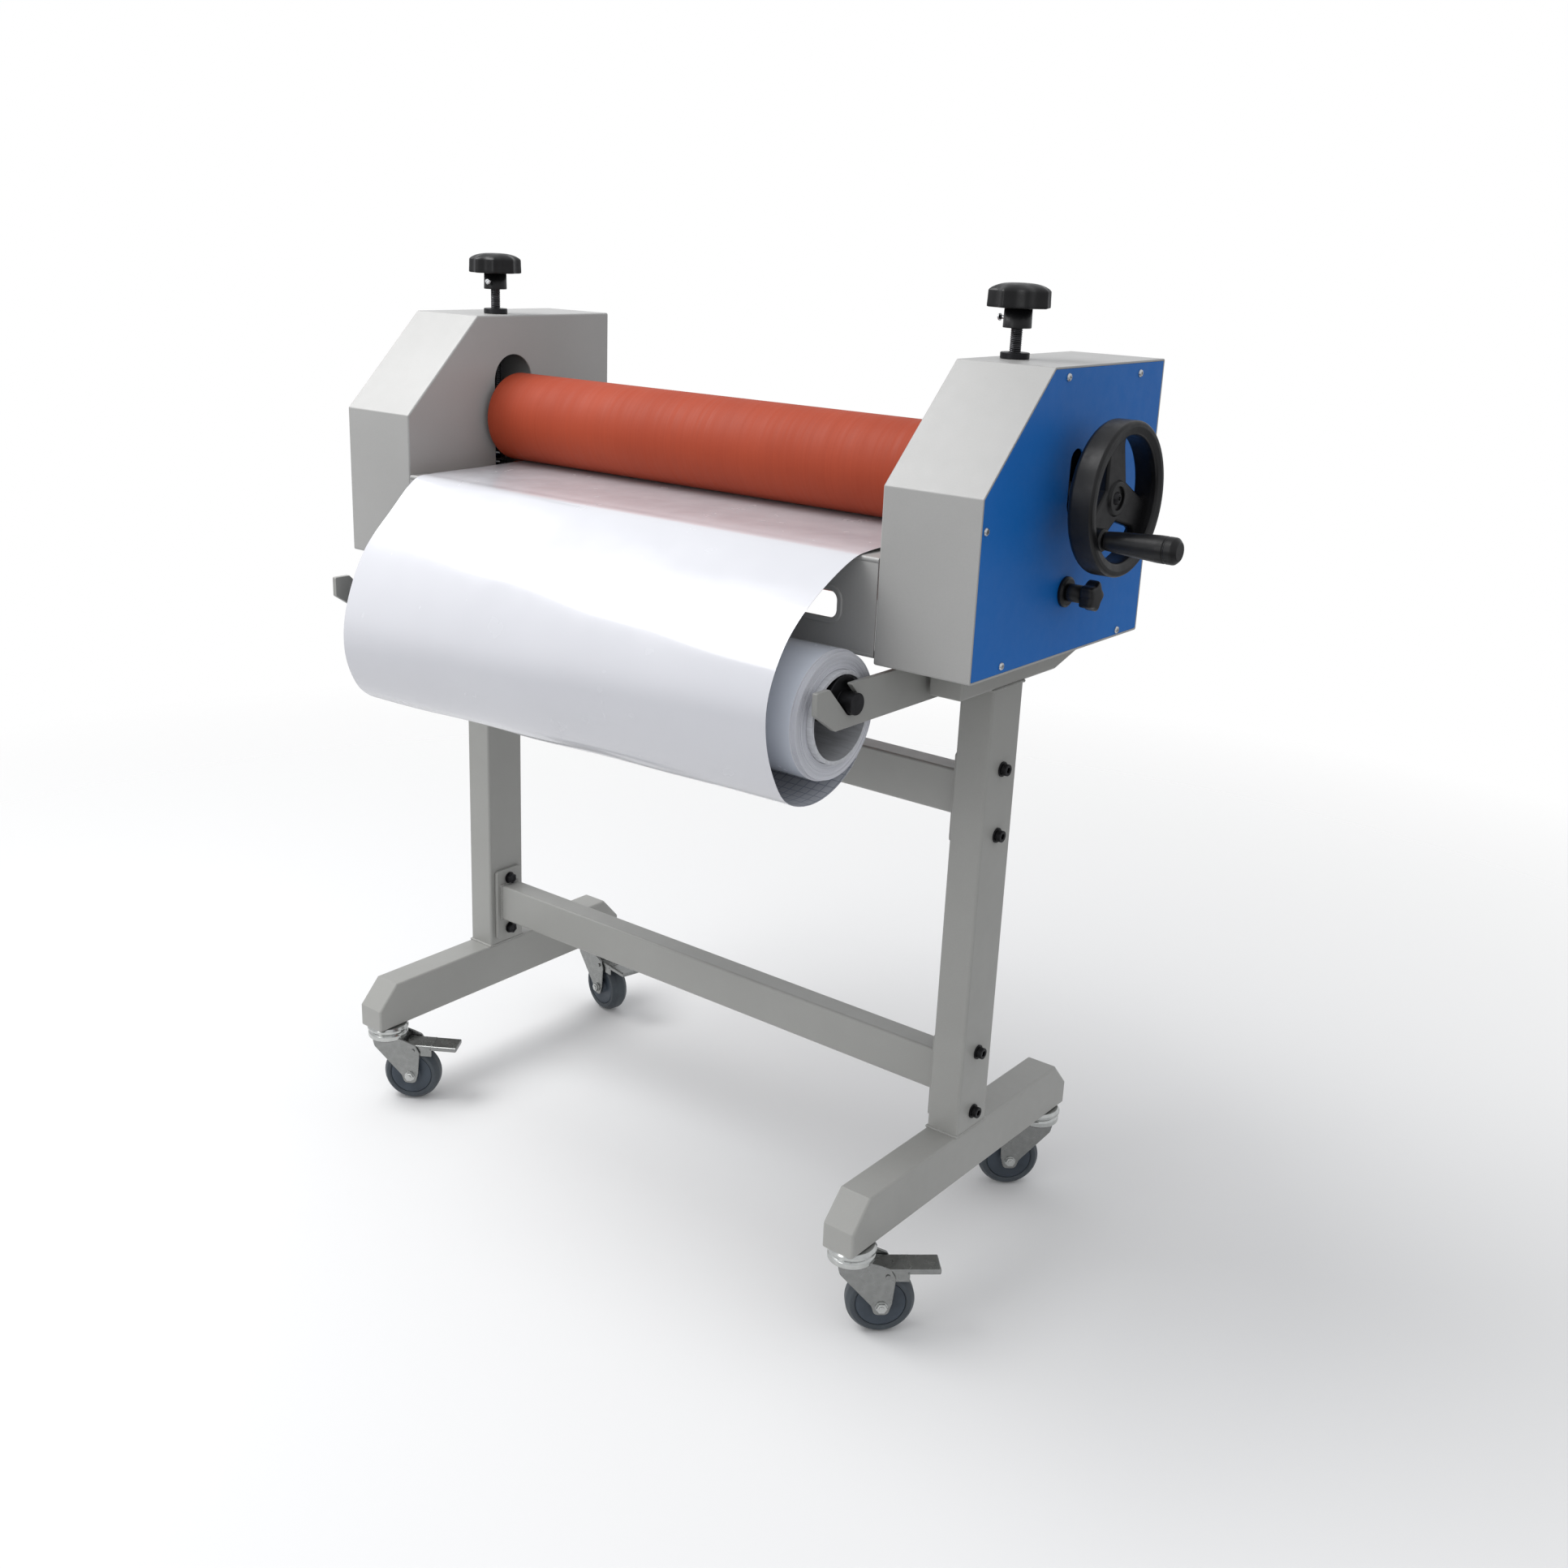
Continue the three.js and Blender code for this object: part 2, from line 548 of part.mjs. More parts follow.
// ---------------------------------------------------------------- film supply
function supplyArm(side) {
  const [x0, x1] = spanX(side, arm.x0, arm.x1);
  const plate = prismX(outline([
    [arm.front, arm.top - 22], [arm.front + 32, arm.bottom], [arm.back, arm.bottom], [arm.back, arm.top],
    [arm.front, arm.top],
  ]), x0, x1);
  const half = arm.pinSlot / 2;
  const slot = box(x0 - 1, x1 + 1, -half, half, 0, 60);
  const seat = join(slot, rodX(half, x0 - 1, x1 + 1, 24));
  seat.rotateX(Math.PI / 4).translate(0, supply.y, supply.z);
  const [p0, p1] = spanX(side, arm.x1 - 1, leg.x - leg.tubeX / 2 - gap);
  const pads = [-76, -34].map((y) => rodX(9, p0, p1, 16).translate(0, y, 703));
  return join(cut(plate, seat), ...pads);
}

function supplyShaft() {
  const { tube, tubeHalf, pin, end } = supply;
  return turnX([
    [0, -end], [pin, -end], [pin, -tubeHalf], [tube, -tubeHalf],
    [tube, tubeHalf], [pin, tubeHalf], [pin, end], [0, end],
  ], 20);
}

const rollAxisZ = supply.z - (core.bore - supply.tube - gap);

function filmCore() {
  const { bore, radius, left, right } = core;
  return turnX([[bore, left], [radius, left], [radius, right], [bore, right]], 32);
}

function filmRoll() {
  const { radius, step, left, right } = roll;
  const bore = core.radius + gap;
  return turnX([
    [bore, left - 6], [step, left - 6], [step, left], [radius, left], [radius, right],
    [step, right], [step, core.right - 1], [bore, core.right - 1],
  ], 32);
}

// (y, z) along each edge of the free web, from behind the nip, over the front table, down and
// round the slack loop and up against the back of the roll
const webBack = [[40, nipZ + 0.7], [rollerY, nipZ + 0.7], [-80, 832.4], [-150, 831.2]];
const webRight = [
  [-176, 827.5], [-237, 798.5], [-282, 762.5], [-309, 716], [-312.5, 680], [-302, 640], [-281, 608],
  [-247, 596.5], [-208, 602], [-172, 625],
];
const webLeft = [
  [-173, 829], [-216, 793.5], [-257.4, 752.8], [-284, 703], [-294.5, 662], [-292, 625], [-274, 590],
  [-243, 574], [-205, 584], [-170, 614],
];
const webEnd = (() => {
  const angle = -0.32;
  const r = roll.radius + gap + film.thickness;
  return [supply.y + r * Math.cos(angle), rollAxisZ + r * Math.sin(angle)];
})();

function filmWeb() {
  const steps = 36;
  const edge = (points, xNip, xRoll) => {
    const route = [...webBack, ...points, webEnd].map(([y, z]) => new THREE.Vector3(0, y, z));
    const curve = new THREE.CatmullRomCurve3(route, false, 'centripetal');
    return Array.from({ length: steps + 1 }, (_, i) => {
      const t = i / steps;
      const point = curve.getPointAt(t);
      const tangent = curve.getTangentAt(t);
      const normal = new THREE.Vector3(0, -tangent.z, tangent.y).multiplyScalar(film.thickness / 2);
      point.x = THREE.MathUtils.lerp(xNip, xRoll, THREE.MathUtils.smoothstep(t, 0.3, 0.9));
      return [point.clone().add(normal), point.clone().sub(normal)];
    });
  };
  const leftEdge = edge(webLeft, -film.half, roll.left);
  const rightEdge = edge(webRight, film.half, roll.right);
  const rings = leftEdge.map((l, i) => [l[0], rightEdge[i][0], rightEdge[i][1], l[1]]);
  const positions = rings.flat().flatMap((p) => p.toArray());
  const index = [];
  const quad = (a, b, c, d) => index.push(a, c, b, a, d, c);
  // both faces of the twisted web are split along the same diagonal, so its thickness stays even
  for (let i = 0; i < steps; i += 1) {
    for (let k = 0; k < 4; k += 1) {
      const n = (k + 1) % 4;
      const corners = [4 * i + k, 4 * i + 4 + k, 4 * i + 4 + n, 4 * i + n];
      if (k === 2) corners.unshift(corners.pop());
      quad(...corners);
    }
  }
  quad(0, 1, 2, 3);
  quad(4 * steps + 3, 4 * steps + 2, 4 * steps + 1, 4 * steps);
  const geometry = new THREE.BufferGeometry();
  geometry.setAttribute('position', new THREE.Float32BufferAttribute(positions, 3));
  geometry.setIndex(index);
  return geometry;
}

function addSupply() {
  for (const [label, side] of sides) add(machine, `${label}_supply_arm`, supplyArm(side), powderGrey);
  add(machine, 'supply_shaft', supplyShaft(), blackSteel).position.set(0, supply.y, supply.z);
  add(machine, 'film_core', filmCore(), cardboard).position.set(0, supply.y, rollAxisZ);
  add(machine, 'film_roll', filmRoll(), filmWhite).position.set(0, supply.y, rollAxisZ);
  add(machine, 'film_web', filmWeb(), filmWhite);
}

addStand();
addCasters();
addHousings();
add(machine, 'front_table', table(true), powderGrey);
add(machine, 'rear_table', table(false), powderGrey);
addRollers();
addPressureScrews();
addControls();
addSupply();

// the origin sits on the floor, under the centre of everything's footprint
const footprint = new THREE.Box3().setFromObject(machine, true);
const middle = footprint.getCenter(new THREE.Vector3());
machine.position.set(-middle.x, -middle.y, 0);

const object = new THREE.Group();
object.add(machine);
export default object;
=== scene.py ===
import math
import random

import bpy
from mathutils import Matrix, Vector
from mathutils.geometry import tessellate_polygon


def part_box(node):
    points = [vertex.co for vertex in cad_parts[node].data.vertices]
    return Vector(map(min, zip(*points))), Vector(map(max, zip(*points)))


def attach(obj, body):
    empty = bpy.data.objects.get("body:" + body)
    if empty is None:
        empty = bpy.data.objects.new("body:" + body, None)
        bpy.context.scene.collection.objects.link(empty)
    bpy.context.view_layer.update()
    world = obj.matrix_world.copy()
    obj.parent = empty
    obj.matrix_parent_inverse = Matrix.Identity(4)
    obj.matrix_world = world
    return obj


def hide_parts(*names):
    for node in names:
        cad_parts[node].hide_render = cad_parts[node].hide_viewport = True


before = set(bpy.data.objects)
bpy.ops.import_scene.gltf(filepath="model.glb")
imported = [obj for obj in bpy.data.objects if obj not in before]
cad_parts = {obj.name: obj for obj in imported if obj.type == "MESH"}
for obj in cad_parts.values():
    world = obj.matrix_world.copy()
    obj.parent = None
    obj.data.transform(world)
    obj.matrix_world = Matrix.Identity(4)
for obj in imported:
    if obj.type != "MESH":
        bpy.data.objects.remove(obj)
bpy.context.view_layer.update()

pi = math.pi
scene = bpy.context.scene

# Shapes below are drawn in millimetres from the machine's own axes: x midway between the housings,
# y through the leg posts, z on the floor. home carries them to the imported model's place.
legLow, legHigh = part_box("left_leg_frame")
wallLow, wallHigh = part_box("left_housing")[0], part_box("right_housing")[1]
home = Vector(((wallLow.x + wallHigh.x) / 2, (legLow.y + legHigh.y) / 2, 0))


def span(node):
    low, high = ((corner - home) * 1000 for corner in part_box(node))
    return low.x, high.x, low.y, high.y, low.z, high.z


def centreOf(node):
    x0, x1, y0, y1, z0, z1 = span(node)
    return Vector(((x0 + x1) / 2, (y0 + y1) / 2, (z0 + z1) / 2))


# ---- camera
view = {"at": (1.1592, -1.42995, 1.12425), "azimuth": 38.15, "elevation": 18.34, "roll": 2.16,
        "lens": 38.32, "shift": (0.0187, -0.0025)}


def makeCamera():
    data = bpy.data.cameras.new("view")
    data.lens, data.sensor_width = view["lens"], 36
    data.shift_x, data.shift_y = view["shift"]
    data.clip_start, data.clip_end = 0.05, 60
    camera = bpy.data.objects.new("view", data)
    scene.collection.objects.link(camera)
    a, e, r = (math.radians(view[k]) for k in ("azimuth", "elevation", "roll"))
    forward = Vector((-math.sin(a) * math.cos(e), math.cos(a) * math.cos(e), -math.sin(e)))
    level = Vector((math.cos(a), math.sin(a), 0))
    up = level.cross(forward)
    right = level * math.cos(r) + up * math.sin(r)
    top = up * math.cos(r) - level * math.sin(r)
    turn = Matrix((right, top, -forward)).transposed().to_4x4()
    camera.matrix_world = Matrix.Translation(view["at"]) @ turn
    scene.camera = camera


makeCamera()
print("camera set")

# ---- light and floor
studio = {"sky": (0.97, 0.98, 1.0, 1), "fill": 0.81, "below": 0.27, "horizon": (-0.25, 0.05), "seen": 1.0,
          "floor": (0.78, 0.78, 0.78, 1), "floorSize": 6, "floorFade": (0.7, 2.4)}
lamps = [
    {"name": "key", "at": (-1.28, -0.75, 2.5), "to": (0, -0.1, 0.85), "size": (1.5, 1.5), "power": 46},
    {"name": "front", "at": (-0.6, -3.2, 1.7), "to": (0, 0, 0.6), "size": (1.2, 1.6), "power": 13},
]


def makeStudio():
    scene.view_settings.view_transform = "Standard"
    # the sky lights the machine softly and is seen as plain white behind it
    world = bpy.data.worlds.new("studio")
    world.use_nodes = True
    parts, link = world.node_tree.nodes, world.node_tree.links.new
    fill, seen = parts["Background"], parts.new("ShaderNodeBackground")
    fill.inputs["Color"].default_value = studio["sky"]
    seen.inputs["Strength"].default_value = studio["seen"]
    seen.inputs["Color"].default_value = (1, 1, 1, 1)
    way, height, power = (parts.new("ShaderNode" + kind) for kind in ("TexCoord", "SeparateXYZ", "MapRange"))
    limits = (*studio["horizon"], studio["below"], studio["fill"])
    for label, value in zip(("From Min", "From Max", "To Min", "To Max"), limits):
        power.inputs[label].default_value = value
    link(way.outputs["Generated"], height.inputs[0])
    link(height.outputs["Z"], power.inputs["Value"])
    link(power.outputs["Result"], fill.inputs["Strength"])
    ray, either = parts.new("ShaderNodeLightPath"), parts.new("ShaderNodeMixShader")
    link(ray.outputs["Is Camera Ray"], either.inputs[0])
    link(fill.outputs[0], either.inputs[1])
    link(seen.outputs[0], either.inputs[2])
    link(either.outputs[0], parts["World Output"].inputs["Surface"])
    scene.world = world
    for lamp in lamps:
        data = bpy.data.lights.new(lamp["name"], "AREA")
        data.shape, data.energy = "RECTANGLE", lamp["power"]
        data.size, data.size_y = lamp["size"]
        light = bpy.data.objects.new(lamp["name"], data)
        light.location = lamp["at"]
        aim = Vector(lamp["to"]) - Vector(lamp["at"])
        light.rotation_mode = "QUATERNION"
        light.rotation_quaternion = aim.to_track_quat("-Z", "Y")
        scene.collection.objects.link(light)
    mesh = bpy.data.meshes.new("floor")
    r = studio["floorSize"]
    mesh.from_pydata([(-r, -r, 0), (r, -r, 0), (r, r, 0), (-r, r, 0)], [], [(0, 1, 2, 3)])
    floor = bpy.data.objects.new("floor", mesh)
    scene.collection.objects.link(floor)
    paper = bpy.data.materials.new("floorPaper")
    paper.use_nodes = True
    shade = paper.node_tree.nodes["Principled BSDF"]
    shade.inputs["Base Color"].default_value = studio["floor"]
    shade.inputs["Roughness"].default_value = 0.9
    # the paper thins out to nothing away from the machine
    parts, link = paper.node_tree.nodes, paper.node_tree.links.new
    where, reach, fade = (parts.new("ShaderNode" + kind) for kind in ("TexCoord", "VectorMath", "MapRange"))
    reach.operation = "LENGTH"
    fade.inputs["From Min"].default_value, fade.inputs["From Max"].default_value = studio["floorFade"]
    fade.inputs["To Min"].default_value, fade.inputs["To Max"].default_value = 1, 0
    link(where.outputs["Object"], reach.inputs[0])
    link(reach.outputs["Value"], fade.inputs["Value"])
    link(fade.outputs["Result"], shade.inputs["Alpha"])
    mesh.materials.append(paper)


makeStudio()
print("studio set")


# ---- materials
class Finish:
    # a principled material, with short ways to add grain, colour variation and relief
    def __init__(self, name, **sockets):
        self.look = bpy.data.materials.new(name)
        self.look.use_nodes = True
        self.tree = self.look.node_tree
        self.shader = self.tree.nodes["Principled BSDF"]
        for label, value in sockets.items():
            self.shader.inputs[label.replace("_", " ")].default_value = value
        self.last = None

    def node(self, kind, **settings):
        made = self.tree.nodes.new(kind)
        for label, value in settings.items():
            setattr(made, label, value)
        return made

    def join(self, source, target):
        self.tree.links.new(source, target)

    def place(self, scale, uv=False):
        where = self.node("ShaderNodeTexCoord")
        stretch = self.node("ShaderNodeMapping")
        stretch.inputs["Scale"].default_value = scale
        self.join(where.outputs["UV" if uv else "Object"], stretch.inputs["Vector"])
        return stretch.outputs["Vector"]

    def noise(self, scale, detail=3, roughness=0.55, uv=False):
        made = self.node("ShaderNodeTexNoise")
        made.inputs["Scale"].default_value = 1
        made.inputs["Detail"].default_value = detail
        made.inputs["Roughness"].default_value = roughness
        self.join(self.place(scale, uv), made.inputs["Vector"])
        return made.outputs["Fac"]

    def cells(self, scale, feature="F1", uv=False):
        made = self.node("ShaderNodeTexVoronoi", feature=feature)
        made.inputs["Scale"].default_value = 1
        self.join(self.place(scale, uv), made.inputs["Vector"])
        return made.outputs["Distance"]

    def bands(self, scale, profile="SIN", direction="X", distortion=0.0, uv=False):
        made = self.node("ShaderNodeTexWave", wave_profile=profile, bands_direction=direction)
        made.inputs["Scale"].default_value = 1
        made.inputs["Distortion"].default_value = distortion
        self.join(self.place(scale, uv), made.inputs["Vector"])
        return made.outputs["Fac"]

    def shades(self, factor, stops, target="Base Color"):
        ramp = self.node("ShaderNodeValToRGB")
        marks = ramp.color_ramp.elements
        while len(marks) < len(stops):
            marks.new(0.5)
        for mark, (position, value) in zip(marks, stops):
            mark.position = position
            mark.color = (value,) * 3 + (1,) if isinstance(value, float) else (*value, 1)
        self.join(factor, ramp.inputs["Fac"])
        if target:
            self.join(ramp.outputs["Color"], self.shader.inputs[target])
        return ramp.outputs["Color"]

    def blend(self, factor, first, second, kind="MIX", target="Base Color"):
        mix = self.node("ShaderNodeMix", data_type="RGBA", blend_type=kind)
        for value, socket in ((factor, 0), (first, 6), (second, 7)):
            if isinstance(value, (float, int, tuple)):
                mix.inputs[socket].default_value = value
            else:
                self.join(value, mix.inputs[socket])
        if target:
            self.join(mix.outputs[2], self.shader.inputs[target])
        return mix.outputs[2]

    def spread(self, factor, low, high, target="Roughness"):
        scale = self.node("ShaderNodeMapRange")
        scale.inputs["To Min"].default_value = low
        scale.inputs["To Max"].default_value = high
        scale.inputs["From Min"].default_value = 0.3
        scale.inputs["From Max"].default_value = 0.7
        self.join(factor, scale.inputs["Value"])
        self.join(scale.outputs["Result"], self.shader.inputs[target])

    def relief(self, factor, depth, strength=1.0):
        bump = self.node("ShaderNodeBump")
        bump.inputs["Strength"].default_value = strength
        bump.inputs["Distance"].default_value = depth
        self.join(factor, bump.inputs["Height"])
        if self.last:
            self.join(self.last, bump.inputs["Normal"])
        self.last = bump.outputs["Normal"]
        self.join(self.last, self.shader.inputs["Normal"])


def powderCoat(name, dark, light, roughness, peel, coat):
    paint = Finish(name, Roughness=roughness, Coat_Weight=coat, Coat_Roughness=0.3, Specular_IOR_Level=0.3)
    cloud = paint.noise((5, 5, 5), 4)
    fleck = paint.noise((900, 900, 900), 2)
    body = paint.shades(cloud, [(0.3, dark), (0.7, light)], None)
    speck = paint.shades(fleck, [(0.25, 0.94), (0.75, 1.0)], None)
    paint.blend(1.0, body, speck, "MULTIPLY")
    paint.spread(paint.noise((60, 60, 60), 3), roughness - 0.05, roughness + 0.07)
    paint.relief(paint.noise((520, 520, 520), 2), peel)
    paint.relief(paint.noise((7, 7, 7), 1), 0.0006, 0.35)
    return paint.look


def siliconeRubber():
    rubber = Finish("groundRubber", Roughness=0.6, Specular_IOR_Level=0.2)
    dust = rubber.noise((11, 11, 11), 5)
    rings = rubber.noise((420, 3, 3), 3)
    base = rubber.shades(dust, [(0.3, (0.325, 0.047, 0.019)), (0.7, (0.365, 0.056, 0.023))], None)
    line = rubber.shades(rings, [(0.3, 0.93), (0.7, 1.0)], None)
    rubber.blend(1.0, base, line, "MULTIPLY")
    rubber.spread(rubber.noise((140, 6, 6), 4), 0.52, 0.68)
    rubber.relief(rubber.noise((1600, 12, 12), 2), 0.00003)
    rubber.relief(rubber.noise((900, 900, 900), 2), 0.00002)
    return rubber.look


def mouldedPlastic(name, colour, roughness):
    shell = Finish(name, Roughness=roughness, Specular_IOR_Level=0.32)
    tone = tuple(1.5 * c + 0.002 for c in colour)
    shell.shades(shell.noise((26, 26, 26), 4), [(0.35, colour), (0.7, tone)])
    shell.spread(shell.noise((90, 90, 90), 4), roughness - 0.06, roughness + 0.1)
    shell.relief(shell.cells((1400, 1400, 1400)), 0.00003, 0.6)
    return shell.look


def metal(name, dark, light, roughness, grain, depth):
    steel = Finish(name, Metallic=1.0, Roughness=roughness)
    steel.shades(steel.noise((18, 18, 18), 4), [(0.3, dark), (0.7, light)])
    steel.spread(steel.noise(grain, 3), roughness - 0.07, roughness + 0.1)
    steel.relief(steel.noise(grain, 2), depth)
    return steel.look


def zincPlate(name, base, roughness):
    plate = Finish(name, Metallic=1.0, Roughness=roughness)
    spangle = plate.cells((150, 150, 150))
    plate.shades(spangle, [(share, tuple(base * shift * tint for tint in (0.98, 1.0, 0.98)))
                           for share, shift in ((0.0, 0.92), (0.6, 1.0), (1.0, 1.1))])
    plate.spread(plate.noise((70, 70, 70), 4), roughness - 0.05, roughness + 0.07)
    plate.relief(plate.noise((300, 300, 300), 3), 0.00003)
    return plate.look


def castIron():
    iron = Finish("bearingIron", Metallic=0.7, Roughness=0.55)
    iron.shades(iron.noise((40, 40, 40), 5), [(0.3, (0.07, 0.07, 0.075)), (0.7, (0.15, 0.15, 0.16))])
    iron.spread(iron.noise((120, 120, 120), 3), 0.42, 0.68)
    iron.relief(iron.noise((500, 500, 500), 4), 0.0001)
    return iron.look


def tyreRubber():
    tread = Finish("casterTread", Roughness=0.6, Sheen_Weight=0.1)
    scuff = tread.noise((60, 60, 60), 5, 0.65)
    tread.shades(scuff, [(0.3, (0.03, 0.038, 0.047)), (0.62, (0.045, 0.056, 0.066)),
                         (0.8, (0.08, 0.088, 0.092))])
    tread.spread(scuff, 0.5, 0.75)
    tread.relief(tread.noise((700, 700, 700), 3), 0.00005)
    return tread.look


def glossFilm(name, dark, light):
    film = Finish(name, Roughness=0.24, Coat_Weight=0.65, Coat_Roughness=0.07, Specular_IOR_Level=0.4)
    film.shades(film.noise((4, 4, 4), 3), [(0.3, dark), (0.7, light)])
    film.spread(film.noise((30, 30, 30), 3), 0.17, 0.28)
    film.relief(film.noise((3, 14, 14), 1), 0.002, 0.5)
    return film.look


def linerPaper():
    # release paper with the faint 10 mm cutting grid that such liners carry
    liner = Finish("linerPaper", Roughness=0.55, Coat_Weight=0.15)
    pitch = 0.314159 / 0.01
    across = liner.bands((pitch, 0, 0), uv=True)
    along = liner.bands((0, pitch, 0), direction="Y", uv=True)
    grid = liner.blend(1.0, across, along, "LIGHTEN", None)
    tone = liner.shades(grid, [(0.955, (0.6, 0.61, 0.64)), (0.985, (0.36, 0.38, 0.44))], None)
    fibre = liner.shades(liner.noise((240, 240, 240), 4), [(0.3, 0.93), (0.7, 1.0)], None)
    liner.blend(1.0, tone, fibre, "MULTIPLY")
    liner.relief(liner.noise((600, 600, 600), 3), 0.00002)
    return liner.look


def rollEdge():
    # the wound edge: hundreds of thin layers, read from the map's second axis, which is the radius
    edge = Finish("woundEdge", Roughness=0.45, Coat_Weight=0.1)
    layers = edge.noise((2, 900, 1), 2, uv=True)
    broad = edge.noise((3, 130, 1), 3, uv=True)
    fine = edge.shades(layers, [(0.25, 0.8), (0.75, 1.0)], None)
    tones = [(0.25, (0.56, 0.57, 0.62)), (0.6, (0.7, 0.71, 0.76)), (0.8, (0.78, 0.79, 0.83))]
    body = edge.shades(broad, tones, None)
    edge.blend(1.0, body, fine, "MULTIPLY")
    edge.relief(layers, 0.00012)
    return edge.look


def cardboard():
    board = Finish("spiralBoard", Roughness=0.8)
    fibre = board.noise((30, 260, 260), 5, 0.65)
    board.shades(fibre, [(0.25, (0.44, 0.45, 0.47)), (0.6, (0.58, 0.59, 0.62)), (0.85, (0.66, 0.67, 0.7))])
    board.relief(fibre, 0.0001)
    board.relief(board.noise((900, 900, 900), 2), 0.00003)
    return board.look


finishes = {
    "grey": powderCoat("greyPowder", (0.3, 0.3, 0.285), (0.33, 0.33, 0.315), 0.5, 0.00006, 0.55),
    "paleGrey": powderCoat("paleGreyPowder", (0.36, 0.358, 0.35), (0.39, 0.388, 0.38), 0.5, 0.00006, 0.5),
    "blue": powderCoat("bluePowder", (0.0004, 0.122, 0.45), (0.0008, 0.14, 0.5), 0.5, 0.00004, 0.05),
    "rubber": siliconeRubber(),
    "plastic": mouldedPlastic("blackMoulding", (0.0035, 0.0035, 0.004), 0.36),
    "hub": mouldedPlastic("casterHub", (0.035, 0.045, 0.058), 0.42),
    "steel": metal("turnedSteel", (0.5, 0.5, 0.51), (0.62, 0.62, 0.62), 0.28, (900, 20, 20), 0.00003),
    "spring": metal("springSteel", (0.4, 0.4, 0.41), (0.55, 0.55, 0.55), 0.32, (200, 200, 200), 0.00003),
    "oxide": metal("blackOxide", (0.022, 0.022, 0.024), (0.045, 0.045, 0.048), 0.42, (160, 160, 160),
                   0.00004),
    "bright": metal("brightFastener", (0.5, 0.51, 0.52), (0.66, 0.67, 0.68), 0.27, (260, 260, 260), 0.00002),
    "zinc": zincPlate("zincPressing", 0.27, 0.25),
    "race": zincPlate("zincRaceway", 0.52, 0.17),
    "iron": castIron(),
    "tread": tyreRubber(),
    "film": glossFilm("glossFilm", (0.575, 0.58, 0.615), (0.61, 0.615, 0.65)),
    # the roll's film is the same gloss film painted much lighter: painted light that brightens the roll where
    # the hanging web shades it
    "wound": glossFilm("woundFilmPaintedLight", (0.74, 0.79, 0.88), (0.79, 0.83, 0.91)),
    "thread": metal("cutThread", (0.05, 0.05, 0.055), (0.1, 0.1, 0.105), 0.24, (300, 300, 300), 0.00002),
    "liner": linerPaper(),
    "edge": rollEdge(),
    "board": cardboard(),
}
print("finishes made:", len(finishes))


# ---- outlines: lists of (u, v, outward u, outward v), solid on the left of travel
class Outline(list):
    corners, steps = None, 5

    def inset(self, amount):
        # the same outline drawn further inside the solid, corner for corner
        if not self.corners:
            return [(u - nu * amount, v - nv * amount, nu, nv) for u, v, nu, nv in self]
        made, count = [], len(self.corners)
        for i, corner in enumerate(self.corners):
            here = Vector(corner[:2])
            into = (here - Vector(self.corners[i - 1][:2])).normalized()
            out = (Vector(self.corners[(i + 1) % count][:2]) - here).normalized()
            first, second = Vector((into.y, -into.x)), Vector((out.y, -out.x))
            turn = into.x * out.y - into.y * out.x
            radius = corner[2] if len(corner) > 2 else 0
            if radius > 0 and abs(turn) > 1e-3:
                radius = max(radius - amount if turn > 0 else radius + amount, 0.02)
            made.append((*(here - (first + second) / (1 + first.dot(second)) * amount), radius))
        return rounded(made, self.steps)


def rounded(corners, steps=5, closed=True):
    made, count = Outline(), len(corners)
    if closed:
        made.corners, made.steps = corners, steps
    for i, corner in enumerate(corners):
        here, radius = Vector(corner[:2]), corner[2] if len(corner) > 2 else 0
        before, after = Vector(corners[i - 1][:2]), Vector(corners[(i + 1) % count][:2])
        if not closed and i in (0, count - 1):
            way = (after - here if i == 0 else here - before).normalized()
            made.append((*here, way.y, -way.x))
            continue
        into, out = here - before, after - here
        room = 0.499 * min(into.length, out.length)
        into.normalize()
        out.normalize()
        turn = math.atan2(into.x * out.y - into.y * out.x, into.dot(out))
        if radius <= 0 or abs(turn) < 1e-3:
            mean = (into + out).normalized()
            made.append((*here, mean.y, -mean.x))
            continue
        reach = min(radius * math.tan(abs(turn) / 2), room)
        radius = reach / math.tan(abs(turn) / 2)
        sign = 1 if turn > 0 else -1
        normal = Vector((into.y, -into.x))
        middle = here - into * reach - normal * radius * sign
        for k in range(steps + 1):
            a = turn * k / steps
            n = Vector((normal.x * math.cos(a) - normal.y * math.sin(a),
                        normal.x * math.sin(a) + normal.y * math.cos(a)))
            made.append((*(middle + n * radius * sign), *n))
    return made


def circle(u, v, radius, count=40, hole=False):
    ring = Outline()
    for k in range(count):
        a = 2 * pi * k / count * (-1 if hole else 1)
        n = (math.cos(a), math.sin(a))
        side = -1 if hole else 1
        ring.append((u + radius * n[0], v + radius * n[1], side * n[0], side * n[1]))
    return ring


def rectangle(u0, u1, v0, v1, radius=0.4, hole=False, steps=5):
    corners = [(u0, v0, radius), (u1, v0, radius), (u1, v1, radius), (u0, v1, radius)]
    return rounded(corners[::-1] if hole else corners, steps)


# ---- forms: points, normals, faces and the finish number of each face, still in millimetres
def newForm():
    return {"points": [], "normals": [], "faces": [], "looks": [], "map": []}


def join(*forms):
    whole = newForm()
    for form in forms:
        start = len(whole["points"])
        whole["points"] += form["points"]
        whole["normals"] += form["normals"]
        whole["map"] += form["map"] or [(0, 0)] * len(form["points"])
        whole["faces"] += [tuple(i + start for i in face) for face in form["faces"]]
        whole["looks"] += form["looks"]
    return whole


def moved(form, matrix):
    turn = matrix.to_3x3()
    flip = turn.determinant() < 0
    back = turn.inverted().transposed()
    return {
        "points": [matrix @ Vector(p) for p in form["points"]],
        "normals": [(back @ Vector(n)).normalized() for n in form["normals"]],
        "faces": [face[::-1] for face in form["faces"]] if flip else form["faces"],
        "looks": form["looks"], "map": form["map"],
    }


